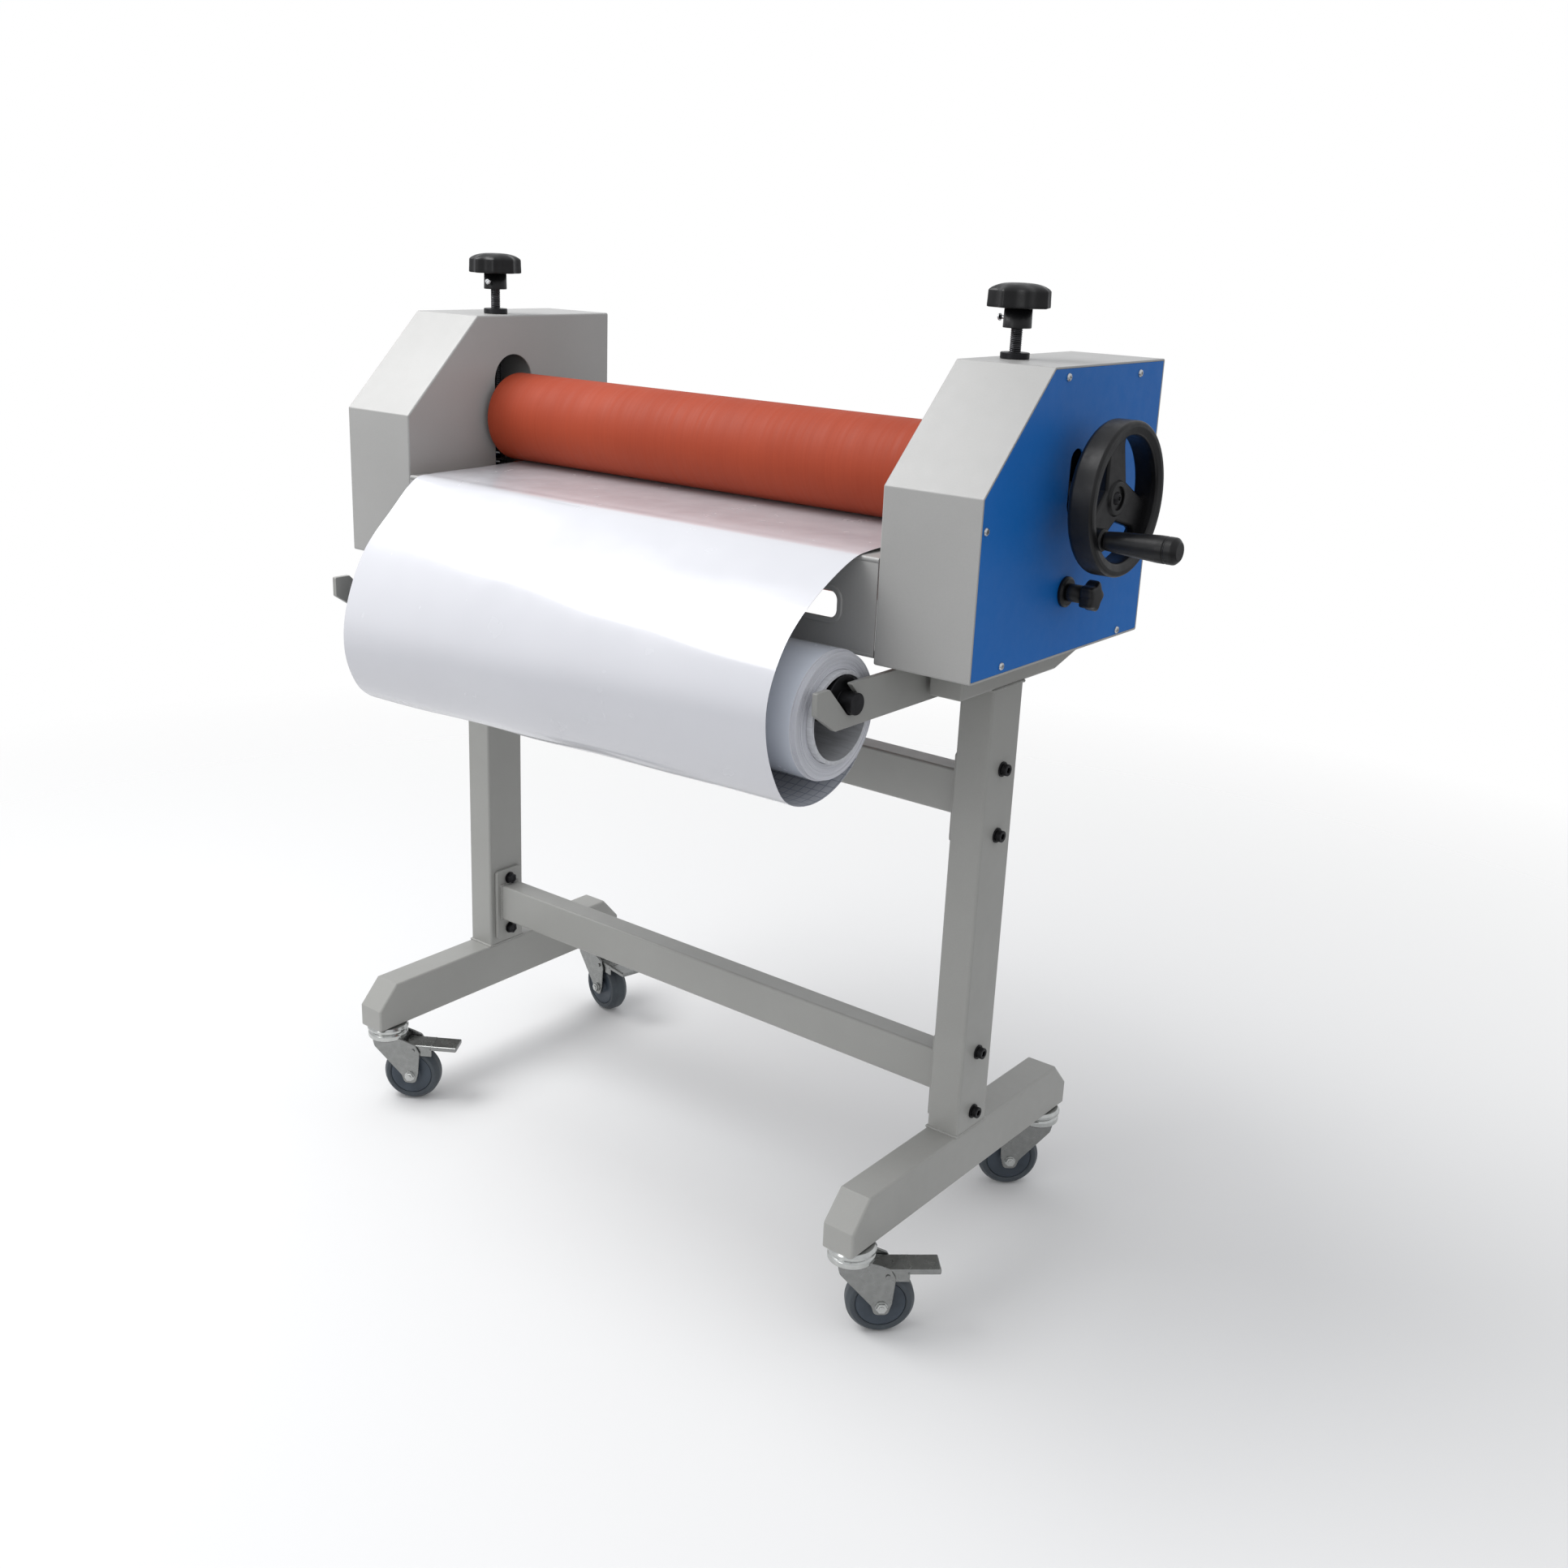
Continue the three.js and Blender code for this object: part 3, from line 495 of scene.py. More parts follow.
def shifted(form, x=0, y=0, z=0):
    return moved(form, Matrix.Translation((x, y, z)))


def mirroredX(form):
    return moved(form, Matrix.Diagonal((-1, 1, 1, 1)))


def sided(form, side):
    return form if side > 0 else mirroredX(form)


alongX = Matrix(((0, 0, 1, 0), (1, 0, 0, 0), (0, 1, 0, 0), (0, 0, 0, 1)))
alongY = Matrix(((1, 0, 0, 0), (0, 0, -1, 0), (0, 1, 0, 0), (0, 0, 0, 1)))


def slab(outer, low, high, holes=(), edge=0.5, steps=3, look=0, holeEdge=None):
    # an outline carried from low to high, its rims rounded by edge (one value, or low and high)
    form = newForm()
    crisp = 1 if holeEdge is None else holeEdge
    edges = edge if isinstance(edge, tuple) else (edge, edge)
    levels = []
    arc = [(math.cos(pi / 2 * k / steps), math.sin(pi / 2 * k / steps)) for k in range(steps + 1)]
    for c, s in arc:
        levels.append((low + edges[0] * (1 - c), edges[0] * (1 - s), -c, s))
    for c, s in arc[::-1]:
        levels.append((high - edges[1] * (1 - c), edges[1] * (1 - s), c, s))
    caps = {0: [], len(levels) - 1: []}
    for ring in [outer, *holes]:
        count, start = len(ring), len(form["points"])
        for row, (w, inset, axial, side) in enumerate(levels):
            for u, v, nu, nv in ring.inset(inset * (1 if ring is outer else crisp)):
                form["points"].append(Vector((u, v, w)))
                form["normals"].append(Vector((nu * side, nv * side, axial)))
            if row in caps:
                caps[row].append([start + row * count + i for i in range(count)])
        for row in range(len(levels) - 1):
            for i in range(count):
                n = (i + 1) % count
                a, b = start + row * count, start + (row + 1) * count
                form["faces"].append((a + i, a + n, b + n, b + i))
    for row, rings in caps.items():
        up = row > 0
        if len(rings) == 1:
            form["faces"].append(tuple(rings[0] if up else rings[0][::-1]))
            continue
        flat = [i for ring in rings for i in ring]
        loops = [[Vector((*form["points"][i][:2], 0)) for i in ring] for ring in rings]
        for tri in tessellate_polygon(loops):
            a, b, c = (flat[i] for i in tri)
            pa, pb, pc = (form["points"][i] for i in (a, b, c))
            area = (pb.x - pa.x) * (pc.y - pa.y) - (pb.y - pa.y) * (pc.x - pa.x)
            if abs(area) > 1e-9:
                form["faces"].append((a, b, c) if (area > 0) == up else (c, b, a))
    form["looks"] = [look] * len(form["faces"])
    return form


def slabX(outer, low, high, **more):
    return moved(slab(outer, low, high, **more), alongX)


def slabY(outer, low, high, **more):
    return moved(slab(outer, -high, -low, **more), alongY)


def lathe(profile, turns=64, steps=4, closed=False, look=0):
    # (radius, height, fillet) corners turned round z, solid on the left of travel
    form, line = newForm(), rounded(profile, steps, closed)
    rows = []
    for r, h, nr, nh in line:
        start = len(form["points"])
        columns = 1 if r < 1e-6 else turns + 1
        for k in range(columns):
            a = 2 * pi * (k % turns) / turns
            form["points"].append(Vector((r * math.cos(a), r * math.sin(a), h)))
            if r < 1e-6:
                form["normals"].append(Vector((0, 0, 1 if nh > 0 else -1)))
            else:
                form["normals"].append(Vector((nr * math.cos(a), nr * math.sin(a), nh)))
            form["map"].append((k / turns, r / 1000))
        rows.append((start, columns))
    pairs = list(zip(rows, rows[1:] + rows[:1])) if closed else list(zip(rows, rows[1:]))
    for (a, na), (b, nb) in pairs:
        for k in range(turns):
            if na == 1 and nb == 1:
                continue
            if na == 1:
                form["faces"].append((a, b + k + 1, b + k))
            elif nb == 1:
                form["faces"].append((a + k, a + k + 1, b))
            else:
                form["faces"].append((a + k, a + k + 1, b + k + 1, b + k))
    form["looks"] = [look] * len(form["faces"])
    return form


def latheX(profile, y=0, z=0, **more):
    return shifted(moved(lathe(profile, **more), alongX), 0, y, z)


def latheY(profile, x=0, z=0, **more):
    return shifted(moved(lathe(profile, **more), alongY), x, 0, z)


def netForm(rows, wrap=True, look=0, capped=False):
    # a net of points laid row by row, its normals taken from its own slopes, its end rows capped if asked
    form, count = newForm(), len(rows[0])
    flat = [Vector(p) for row in rows for p in row]
    form["points"] = flat
    normals = [Vector() for _ in flat]
    for r in range(len(rows) - 1):
        for i in range(count if wrap else count - 1):
            n = (i + 1) % count
            face = (r * count + i, r * count + n, (r + 1) * count + n, (r + 1) * count + i)
            a, b, c, d = (flat[k] for k in face)
            normal = (c - a).cross(d - b)
            for k in face:
                normals[k] += normal
            form["faces"].append(face)
    form["normals"] = [n.normalized() if n.length > 0 else Vector((0, 0, 1)) for n in normals]
    if capped:
        last = len(flat) - count
        form["faces"] += [tuple(range(count))[::-1], tuple(range(last, last + count))]
    form["looks"] = [look] * len(form["faces"])
    return form


def closedMesh(name, form, origin):
    # corners that lie in one place become one vertex, so seams close; each face keeps its own normals
    found, points, shared = {}, [], []
    for point in form["points"]:
        key = tuple(round(value * 10000) for value in point)
        if key not in found:
            found[key] = len(points)
            points.append(Vector(point) / 1000 + origin)
        shared.append(found[key])
    faces, looksOf, corners = [], [], []
    for face, look in zip(form["faces"], form["looks"]):
        kept = [i for k, i in enumerate(face) if shared[i] != shared[face[k - 1]]]
        if len(kept) > 2:
            faces.append([shared[i] for i in kept])
            looksOf.append(look)
            corners += kept
    mesh = bpy.data.meshes.new(name)
    mesh.from_pydata(points, [], faces)
    mesh.polygons.foreach_set("material_index", looksOf)
    mesh.polygons.foreach_set("use_smooth", [True] * len(faces))
    mesh.normals_split_custom_set([form["normals"][i] for i in corners])
    return mesh, corners


def makePiece(name, form, looks, body, nodes=(), mapped=False):
    mesh, corners = closedMesh(name, form, home)
    for look in looks:
        mesh.materials.append(finishes[look])
    if mapped:
        layer = mesh.uv_layers.new(name="surface")
        for spot, i in zip(layer.data, corners):
            spot.uv = form["map"][i]
    piece = bpy.data.objects.new(name, mesh)
    scene.collection.objects.link(piece)
    return register(piece, body, nodes)


def register(piece, body, nodes=()):
    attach(piece, body)
    if nodes:
        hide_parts(*nodes)
    return piece


# ---- geometry node trees for what repeats
def newTree(name, sizes):
    tree = bpy.data.node_groups.new(name, "GeometryNodeTree")
    face = tree.interface
    face.new_socket("Geometry", in_out="INPUT", socket_type="NodeSocketGeometry")
    for label, kind, value in sizes:
        socket = face.new_socket(label, in_out="INPUT", socket_type="NodeSocket" + kind)
        if value is not None:
            socket.default_value = value
    face.new_socket("Geometry", in_out="OUTPUT", socket_type="NodeSocketGeometry")
    return tree, tree.nodes.new("NodeGroupInput"), tree.nodes.new("NodeGroupOutput")


def closeTree(tree, given, result, geometry):
    solid = tree.nodes.new("GeometryNodeRealizeInstances")
    painted = tree.nodes.new("GeometryNodeSetMaterial")
    tree.links.new(geometry, solid.inputs["Geometry"])
    tree.links.new(solid.outputs["Geometry"], painted.inputs["Geometry"])
    tree.links.new(given.outputs["Finish"], painted.inputs["Material"])
    tree.links.new(painted.outputs["Geometry"], result.inputs["Geometry"])


def fastenerTree():
    # one copy of a fastener at each point, its z axis along the point's aim, spun by a fixed seed
    tree, given, result = newTree("fasteners", [
        ("Fastener", "Object", None), ("Size", "Float", 1.0), ("Seed", "Int", 3),
        ("Finish", "Material", None)])
    link = tree.links.new
    item = tree.nodes.new("GeometryNodeObjectInfo")
    item.inputs["As Instance"].default_value = True
    aim = tree.nodes.new("GeometryNodeInputNamedAttribute")
    aim.data_type = "FLOAT_VECTOR"
    aim.inputs["Name"].default_value = "aim"
    point = tree.nodes.new("FunctionNodeAlignRotationToVector")
    point.axis = "Z"
    chance = tree.nodes.new("FunctionNodeRandomValue")
    chance.data_type = "FLOAT"
    spin = tree.nodes.new("FunctionNodeAxisAngleToRotation")
    turned = tree.nodes.new("FunctionNodeRotateRotation")
    turned.rotation_space = "LOCAL"
    copies = tree.nodes.new("GeometryNodeInstanceOnPoints")
    link(given.outputs["Fastener"], item.inputs["Object"])
    link(aim.outputs["Attribute"], point.inputs["Vector"])
    chance.inputs[3].default_value = 2 * pi
    link(given.outputs["Seed"], chance.inputs["Seed"])
    link(chance.outputs[1], spin.inputs["Angle"])
    link(point.outputs["Rotation"], turned.inputs["Rotation"])
    link(spin.outputs["Rotation"], turned.inputs["Rotate By"])
    link(given.outputs["Geometry"], copies.inputs["Points"])
    link(item.outputs["Geometry"], copies.inputs["Instance"])
    link(turned.outputs["Rotation"], copies.inputs["Rotation"])
    link(given.outputs["Size"], copies.inputs["Scale"])
    closeTree(tree, given, result, copies.outputs["Instances"])
    return tree


def beadTree():
    # a run of small overlapping beads along a welded seam
    tree, given, result = newTree("weldBeads", [
        ("Radius", "Float", 0.0026), ("Seed", "Int", 11), ("Finish", "Material", None)])
    link = tree.links.new
    bead = tree.nodes.new("GeometryNodeMeshUVSphere")
    bead.inputs["Segments"].default_value = 8
    bead.inputs["Rings"].default_value = 6
    soft = tree.nodes.new("GeometryNodeSetShadeSmooth")
    chance = tree.nodes.new("FunctionNodeRandomValue")
    chance.data_type = "FLOAT_VECTOR"
    chance.inputs[0].default_value = (0.85, 0.85, 0.6)
    chance.inputs[1].default_value = (1.15, 1.15, 0.85)
    copies = tree.nodes.new("GeometryNodeInstanceOnPoints")
    link(given.outputs["Radius"], bead.inputs["Radius"])
    link(bead.outputs["Mesh"], soft.inputs["Geometry"])
    link(given.outputs["Seed"], chance.inputs["Seed"])
    link(given.outputs["Geometry"], copies.inputs["Points"])
    link(soft.outputs["Geometry"], copies.inputs["Instance"])
    link(chance.outputs[0], copies.inputs["Scale"])
    closeTree(tree, given, result, copies.outputs["Instances"])
    return tree


def threadTree():
    # a screw thread: a small diamond section swept up a helix
    tree, given, result = newTree("screwThread", [
        ("Turns", "Float", 20.0), ("Radius", "Float", 0.0055), ("Height", "Float", 0.03),
        ("Ridge", "Float", 0.0008), ("Foot", "Vector", (0, 0, 0)), ("Finish", "Material", None)])
    link = tree.links.new
    helix = tree.nodes.new("GeometryNodeCurveSpiral")
    helix.inputs["Resolution"].default_value = 28
    section = tree.nodes.new("GeometryNodeCurvePrimitiveCircle")
    section.inputs["Resolution"].default_value = 4
    swept = tree.nodes.new("GeometryNodeCurveToMesh")
    swept.inputs["Fill Caps"].default_value = True
    place = tree.nodes.new("GeometryNodeTransform")
    link(given.outputs["Turns"], helix.inputs["Rotations"])
    for end in ("Start Radius", "End Radius"):
        link(given.outputs["Radius"], helix.inputs[end])
    link(given.outputs["Height"], helix.inputs["Height"])
    link(given.outputs["Ridge"], section.inputs["Radius"])
    link(helix.outputs["Curve"], swept.inputs["Curve"])
    link(section.outputs["Curve"], swept.inputs["Profile Curve"])
    link(swept.outputs["Mesh"], place.inputs["Geometry"])
    link(given.outputs["Foot"], place.inputs["Translation"])
    closeTree(tree, given, result, place.outputs["Geometry"])
    return tree


trees = {"fasteners": fastenerTree(), "beads": beadTree(), "thread": threadTree()}


def grow(name, tree, values, spots=()):
    # spots are (place, aim) pairs in millimetres; the tree's result becomes a plain mesh
    seeds = bpy.data.meshes.new(name)
    seeds.from_pydata([Vector(p) / 1000 + home for p, _ in spots] or [(0, 0, 0)], [], [])
    aims = seeds.attributes.new("aim", "FLOAT_VECTOR", "POINT")
    for i, (_, aim) in enumerate(spots):
        aims.data[i].vector = aim
    piece = bpy.data.objects.new(name, seeds)
    scene.collection.objects.link(piece)
    maker = piece.modifiers.new("maker", "NODES")
    maker.node_group = trees[tree]
    for item in trees[tree].interface.items_tree:
        if item.item_type == "SOCKET" and item.in_out == "INPUT" and item.name in values:
            maker[item.identifier] = values[item.name]
    bpy.context.view_layer.update()
    result = bpy.data.meshes.new_from_object(piece.evaluated_get(bpy.context.evaluated_depsgraph_get()))
    piece.modifiers.clear()
    piece.data = result
    result.name = name
    return piece


def template(name, form):
    # a fastener drawn once round the origin, kept out of the scene
    return bpy.data.objects.new(name, closedMesh(name, form, Vector())[0])


def hexagon(across, hole=False, radius=0.3):
    reach = across / math.sqrt(3)
    points = [(reach * math.cos(pi / 3 * k), reach * math.sin(pi / 3 * k), radius) for k in range(6)]
    return rounded(points[::-1] if hole else points, 2)


def crossOutline(arm, width):
    a, w = arm, width / 2
    points = [(w, w), (w, a), (-w, a), (-w, w), (-a, w), (-a, -w),
              (-w, -w), (-w, -a), (w, -a), (w, -w), (a, -w), (a, w)]
    return rounded([(u, v, 0.12) for u, v in points][::-1], 2)


def panHead():
    skirt = lathe([(0.8, 0.0), (3.9, 0, 0.2), (3.9, 0.9, 0.9), (3.3, 2.0, 0.9), (2.2, 2.35, 0.3)],
                  turns=28, closed=True)
    crown = slab(circle(0, 0, 2.25, 28), 0.9, 2.36, holes=[crossOutline(1.8, 0.75)], edge=(0, 0.06), steps=1)
    floor = slab(circle(0, 0, 2.0, 16), 0.3, 1.2, edge=0.05, steps=1)
    return join(skirt, crown, floor)


def capHead():
    washer = lathe([(3.2, 0, 0.1), (8.3, 0, 0.25), (8.3, 1.5, 0.3), (3.2, 1.5, 0.1)], turns=36, closed=True)
    barrel = slab(circle(0, 0, 6.4, 36), 1.5, 7.9, holes=[hexagon(6, True)], edge=(0.2, 0.7))
    floor = slab(circle(0, 0, 5, 20), 2, 4.4, edge=0.05, steps=1)
    return join(washer, barrel, floor)


def hexNut():
    washer = lathe([(3.2, 0, 0.1), (8.0, 0, 0.25), (8.0, 1.4, 0.3), (3.2, 1.4, 0.1)], turns=36, closed=True)
    nut = slab(hexagon(12.6, radius=0.5), 1.4, 7.0, holes=[circle(0, 0, 3.7, 24, True)], edge=0.6)
    end = lathe([(0, 0), (3.5, 0), (3.5, 6.6, 0.8), (0, 6.6)], turns=24)
    return join(washer, nut, end)


def buttonHead():
    dome = lathe([(1.8, 0), (5.2, 0, 0.2), (5.2, 0.7, 0.6), (3.9, 2.7, 1.2), (1.8, 3.1)],
                 turns=32, closed=True)
    crown = slab(circle(0, 0, 2.6, 24), 0.6, 3.1, holes=[hexagon(3.4, True, 0.15)], edge=(0, 0.06), steps=1)
    floor = slab(circle(0, 0, 2.1, 12), 0.4, 1.3, edge=0.05, steps=1)
    return join(dome, crown, floor)


fasteners = {"pan": template("panHead", panHead()), "cap": template("capHead", capHead()),
             "nut": template("hexNut", hexNut()), "button": template("buttonHead", buttonHead())}


def addFasteners(name, kind, spots, look, body, nodes=(), size=1.0, seed=3):
    piece = grow(name, "fasteners", {"Fastener": fasteners[kind], "Size": size, "Seed": seed,
                                     "Finish": finishes[look]}, spots)
    return register(piece, body, nodes)


root = "stand_and_housings"
sides = (("left", -1), ("right", 1))


# ---- stand
stand = {"tubeY": 60, "footBottom": 106, "footTop": 166, "endRise": 31, "endRun": 29,
         "beamFront": -92, "beamBack": 150, "beamFlat": 97, "beamBottom": 683.7, "beamTop": 723.7,
         "beamCut": 699, "fold": 3.2, "corner": 1.2, "sole": 1.5,
         "bead": 0.0024, "beadStep": 2.3, "beadLift": 0.4}


def seam(u0, u1, v0, v1, z, step):
    # points round a rectangle at height z
    spots = []
    for a, b in (((u0, v0), (u1, v0)), ((u1, v0), (u1, v1)), ((u1, v1), (u0, v1)), ((u0, v1), (u0, v0))):
        count = round(math.dist(a, b) / step)
        for i in range(count):
            spots.append((a[0] + (b[0] - a[0]) * i / count, a[1] + (b[1] - a[1]) * i / count, z))
    return [(p, (0, 0, 1)) for p in spots]


def makeStand():
    s = stand
    shoulder, cut = s["footTop"] - s["endRise"], s["corner"]
    for label, side in sides:
        x0, x1, y0, y1, _, _ = span(label + "_leg_frame")
        foot = rounded([
            (y0, s["footBottom"], s["sole"]), (y1, s["footBottom"], s["sole"]), (y1, shoulder, cut),
            (y1 - s["endRun"], s["footTop"], cut), (y0 + s["endRun"], s["footTop"], cut),
            (y0, shoulder, cut)])
        beam = rounded([
            (s["beamFront"], s["beamBottom"], cut), (s["beamFlat"], s["beamBottom"], cut),
            (s["beamBack"], s["beamCut"], cut), (s["beamBack"], s["beamTop"], cut),
            (s["beamFront"], s["beamTop"], cut)])
        half, fold = s["tubeY"] / 2, s["fold"]
        post = slab(rectangle(x0, x1, -half, half, fold), s["footTop"] - 1, s["beamBottom"] + 1, edge=0.2)
        form = join(slabX(foot, x0, x1, edge=fold, steps=5), slabX(beam, x0, x1, edge=fold, steps=5), post)
        makePiece(label + "_stand", form, ["grey"], root, [label + "_leg_frame"])
        spots = []
        for z in (s["footTop"] + s["beadLift"], s["beamBottom"] - s["beadLift"]):
            spots += seam(x0 + 1, x1 - 1, -half, half, z, s["beadStep"])
        welds = grow(label + "_stand_welds", "beads",
                     {"Radius": s["bead"], "Seed": 5 + side, "Finish": finishes["grey"]}, spots)
        register(welds, root)


bars = {"lower": 229, "upper": 560, "tubeY": 30, "tubeZ": 50, "fold": 3, "plate": 5, "plateY": 44,
        "plateCorner": 4, "bead": 0.0019, "beadStep": 2.1, "beadLift": 0.3}


def makeCrossbars():
    b = bars
    halfY, halfZ, plateHalf = b["tubeY"] / 2, b["tubeZ"] / 2, b["plateY"] / 2
    for level in ("lower", "upper"):
        name = level + "_crossbar"
        x0, x1, _, _, z0, z1 = span(name)
        low, high = b[level] - halfZ, b[level] + halfZ
        tube = slabX(rectangle(-halfY, halfY, low, high, b["fold"]), x0 + 1, x1 - 1, edge=0.3)
        outline = rectangle(-plateHalf, plateHalf, z0, z1, b["plateCorner"])
        starts = (x0, x1 - b["plate"])
        plates = [slabX(outline, x, x + b["plate"], edge=0.7) for x in starts]
        makePiece(name + "_tube", join(tube, *plates), ["grey"], root, [name])
        spots = []
        for x in (x0 + b["plate"] + b["beadLift"], x1 - b["plate"] - b["beadLift"]):
            ring = seam(-halfY, halfY, low, high, x, b["beadStep"])
            spots += [((p[2], p[0], p[1]), (1, 0, 0)) for p, _ in ring]
        welds = grow(name + "_welds", "beads",
                     {"Radius": b["bead"], "Seed": 21, "Finish": finishes["grey"]}, spots)
        register(welds, root)


bolts = {"head": 8, "nut": 7}


def makeBolts():
    for label, side in sides:
        for bar in ("lower", "upper"):
            nodes = [f"{label}_{bar}_bolt_{end}" for end in ("bottom", "top")]
            outer, inner = [], []
            for node in nodes:
                x0, x1, _, _, z0, z1 = span(node)
                z = (z0 + z1) / 2
                outside, inside = (x1, x0) if side > 0 else (x0, x1)
                outer.append(((outside - side * bolts["head"], 0, z), (side, 0, 0)))
                inner.append(((inside + side * bolts["nut"], 0, z), (-side, 0, 0)))
            name = f"{label}_{bar}_bolt"
            addFasteners(name + "_heads", "cap", outer, "oxide", root, nodes, seed=7)
            addFasteners(name + "_nuts", "nut", inner, "oxide", root, seed=9)


makeStand()
makeCrossbars()
makeBolts()
print("stand made")


# ---- casters, drawn with the swivel axis on z through the origin and the wheel towards +x
caster = {"trail": 33, "wheel": 37.5, "half": 12.5, "cheek": 17, "cheekThick": 2.8, "washer": 18.9,
          "nut": {"across": 10.5, "height": 4.2, "ends": (-18.6, 22.8)},
          "pivot": (38, 75), "pivotEnds": (18, 20.2), "axleEnd": 24,
          "pedalHalf": 15.1, "pedalWall": 1.8, "pedalStart": 33, "pedalSides": 62, "pedalEnd": 94}


def casterHead():
    return join(
        lathe([(0, 98), (25.2, 98, 0.6), (27, 99.8, 1.2), (27, 102.4, 1.2), (24.5, 105.7, 1.5), (0, 105.7)], 56),
        lathe([(0, 105), (9, 105), (9, 106.4, 0.4), (6, 106.4, 0.2), (6, 124, 0.8), (0, 124)], 32))


def casterFork():
    c = caster
    x, z = c["trail"], c["wheel"]
    cap = lathe([(0, 86), (22, 86, 1), (26, 89, 2.2), (26, 94.5, 2.2), (23, 97.6, 1.2), (0, 97.6)],
                56, look=1)
    cheek = rounded([
        (-17, 92, 1.5), (-14, 78, 10), (x - 11, z + 0.5, 9), (x - 7.5, z - 10.5, 6), (x + 7.5, z - 10.5, 6),
        (x + 11.5, z + 4, 9), (x + 13, 60, 9), (x + 14, 72, 4), (x + 8, 83, 5), (x - 4, 88, 8),
        (16, 92, 2)], 6)
    parts = [cap]
    for s in (-1, 1):
        y, half = s * c["cheek"], c["cheekThick"] / 2
        parts.append(slabY(cheek, y - half, y + half, edge=1.1))
    saddle = rectangle(-18.3, 18.3, 85, 91.5, 3)
    parts.append(slabX(saddle, -16.5, 17, edge=2.5))
    end = c["axleEnd"]
    parts.append(latheY([(0, -end, 0), (3.2, -end, 0.6), (3.2, end, 0.6), (0, end, 0)],
                        x, z, turns=24, look=1))
    nut = moved(slab(hexagon(c["nut"]["across"]), 0, c["nut"]["height"], edge=0.8, look=1), alongY)
    parts += [shifted(nut, x, y, z) for y in c["nut"]["ends"]]
    for s in (-1, 1):
        y = s * c["washer"]
        parts.append(latheY([(0, y - 0.5), (6.6, y - 0.5, 0.2), (6.6, y + 0.5, 0.2), (0, y + 0.5)],
                            x, z, turns=28, look=1))
        low, high = sorted(s * end for end in c["pivotEnds"])
        parts.append(latheY([(0, low), (2.6, low, 0.6), (2.6, high, 0.6), (0, high)],
                            *c["pivot"], turns=20))
    return join(*parts)


def casterWheel():
    c = caster
    r, w = c["wheel"], c["half"]
    tread = lathe([(27.6, -w + 1.2, 0.6), (29, -w, 1), (33, -w, 2.5), (r, -6, 6), (r, 6, 6), (33, w, 2.5),
                   (29, w, 1), (27.6, w - 1.2, 0.6)], 72, 6, closed=True)
    hub = lathe([(4.6, -13.8, 0.2), (8.5, -13.8, 0.8), (11, -w + 2.4, 2), (24, -w + 1.2, 2),
                 (26.6, -w + 1.2, 1), (28.2, -w + 3, 0.5), (28.2, w - 3, 0.5), (26.6, w - 1.2, 1),
                 (24, w - 1.2, 2), (11, w - 2.4, 2), (8.5, 13.8, 0.8), (4.6, 13.8, 0.2)],
                72, 4, closed=True, look=1)
    whole = moved(join(tread, hub), alongY)
    return shifted(whole, c["trail"], 0, r)


def casterPedal():
    c = caster
    y, wall = c["pedalHalf"], c["pedalWall"]

    def channel(bottom, top):
        # a folded channel open at the bottom
        return rounded([(-y, bottom, 0.4), (-y + wall, bottom, 0.4), (-y + wall, top - wall, 1),
                        (y - wall, top - wall, 1), (y - wall, bottom, 0.4), (y, bottom, 0.4),
                        (y, top, 2.6), (-y, top, 2.6)], 4)
    start, middle, end = c["pedalStart"], c["pedalSides"], c["pedalEnd"]
    body = slabX(channel(66.5, 81.4), start, middle, edge=0.5)
    toe = slabX(channel(75.6, 81.2), middle - 3, end + 1, edge=0.6)
    lip = slabX(rectangle(-y + 1, y - 1, 75.8, 80.8, 1.2), end - 0.6, end + 1.6, edge=0.8)
    heel = slabX(rectangle(-y + 0.3, y - 0.3, 79.6, 81.3, 0.6), start - 9, start + 2, edge=0.5)
    crease = slabX(rectangle(-y + 2.4, y - 2.4, 81, 81.9, 0.3), middle - 1.2, middle + 1.2, edge=0.35)
    return join(body, heel, toe, lip, crease)


def makeCasters():
    shapes = {"head": casterHead(), "fork": casterFork(), "wheel": casterWheel(), "pedal": casterPedal()}
    for corner in ("front_left", "front_right", "rear_left", "rear_right"):
        middle = centreOf(corner + "_caster_plate")
        away = centreOf(corner + "_caster_wheel") - middle
        turn = Matrix.Rotation(math.atan2(away.y, away.x), 4, "Z")
        place = Matrix.Translation((middle.x, middle.y, 0)) @ turn
        kinds = (("head", "plate", root, ["race"], "zinc_plate"),
                 ("fork", "fork", corner + "_caster_swivel", ["zinc", "race"], "zinc_plate"),
                 ("wheel", "wheel", corner + "_caster_roller", ["tread", "hub"], "caster_rubber"),
                 ("pedal", "pedal", corner + "_caster_brake", ["zinc"], "zinc_plate"))
        for shape, node, body, looks, slotName in kinds:
            makePiece(f"{corner}_{shape}", moved(shapes[shape], place), looks, body,
                      [f"{corner}_caster_{node}"])


makeCasters()
print("casters made")


# ---- housings
housing = {"bevel": 112, "wall": 2.2, "fold": 2.4, "panel": 2, "panelGap": 2.3, "flange": 12,
           "slotHalf": 31.3, "slotTop": 963, "slotRise": 6, "slotSteps": 24,
           "guideThick": 6, "guideTop": 968, "guideEnds": (1.5, 58), "sunk": {"left": 2.5, "right": 0},
           "screws": [(-28.5, 999.9), (120, 997.5), (-158, 868), (-110.5, 733.6), (127, 731.3), (166, 872)]}
panelSlot = {"half": 12.5, "bottom": 866, "top": 931, "lowerHole": 10.5}


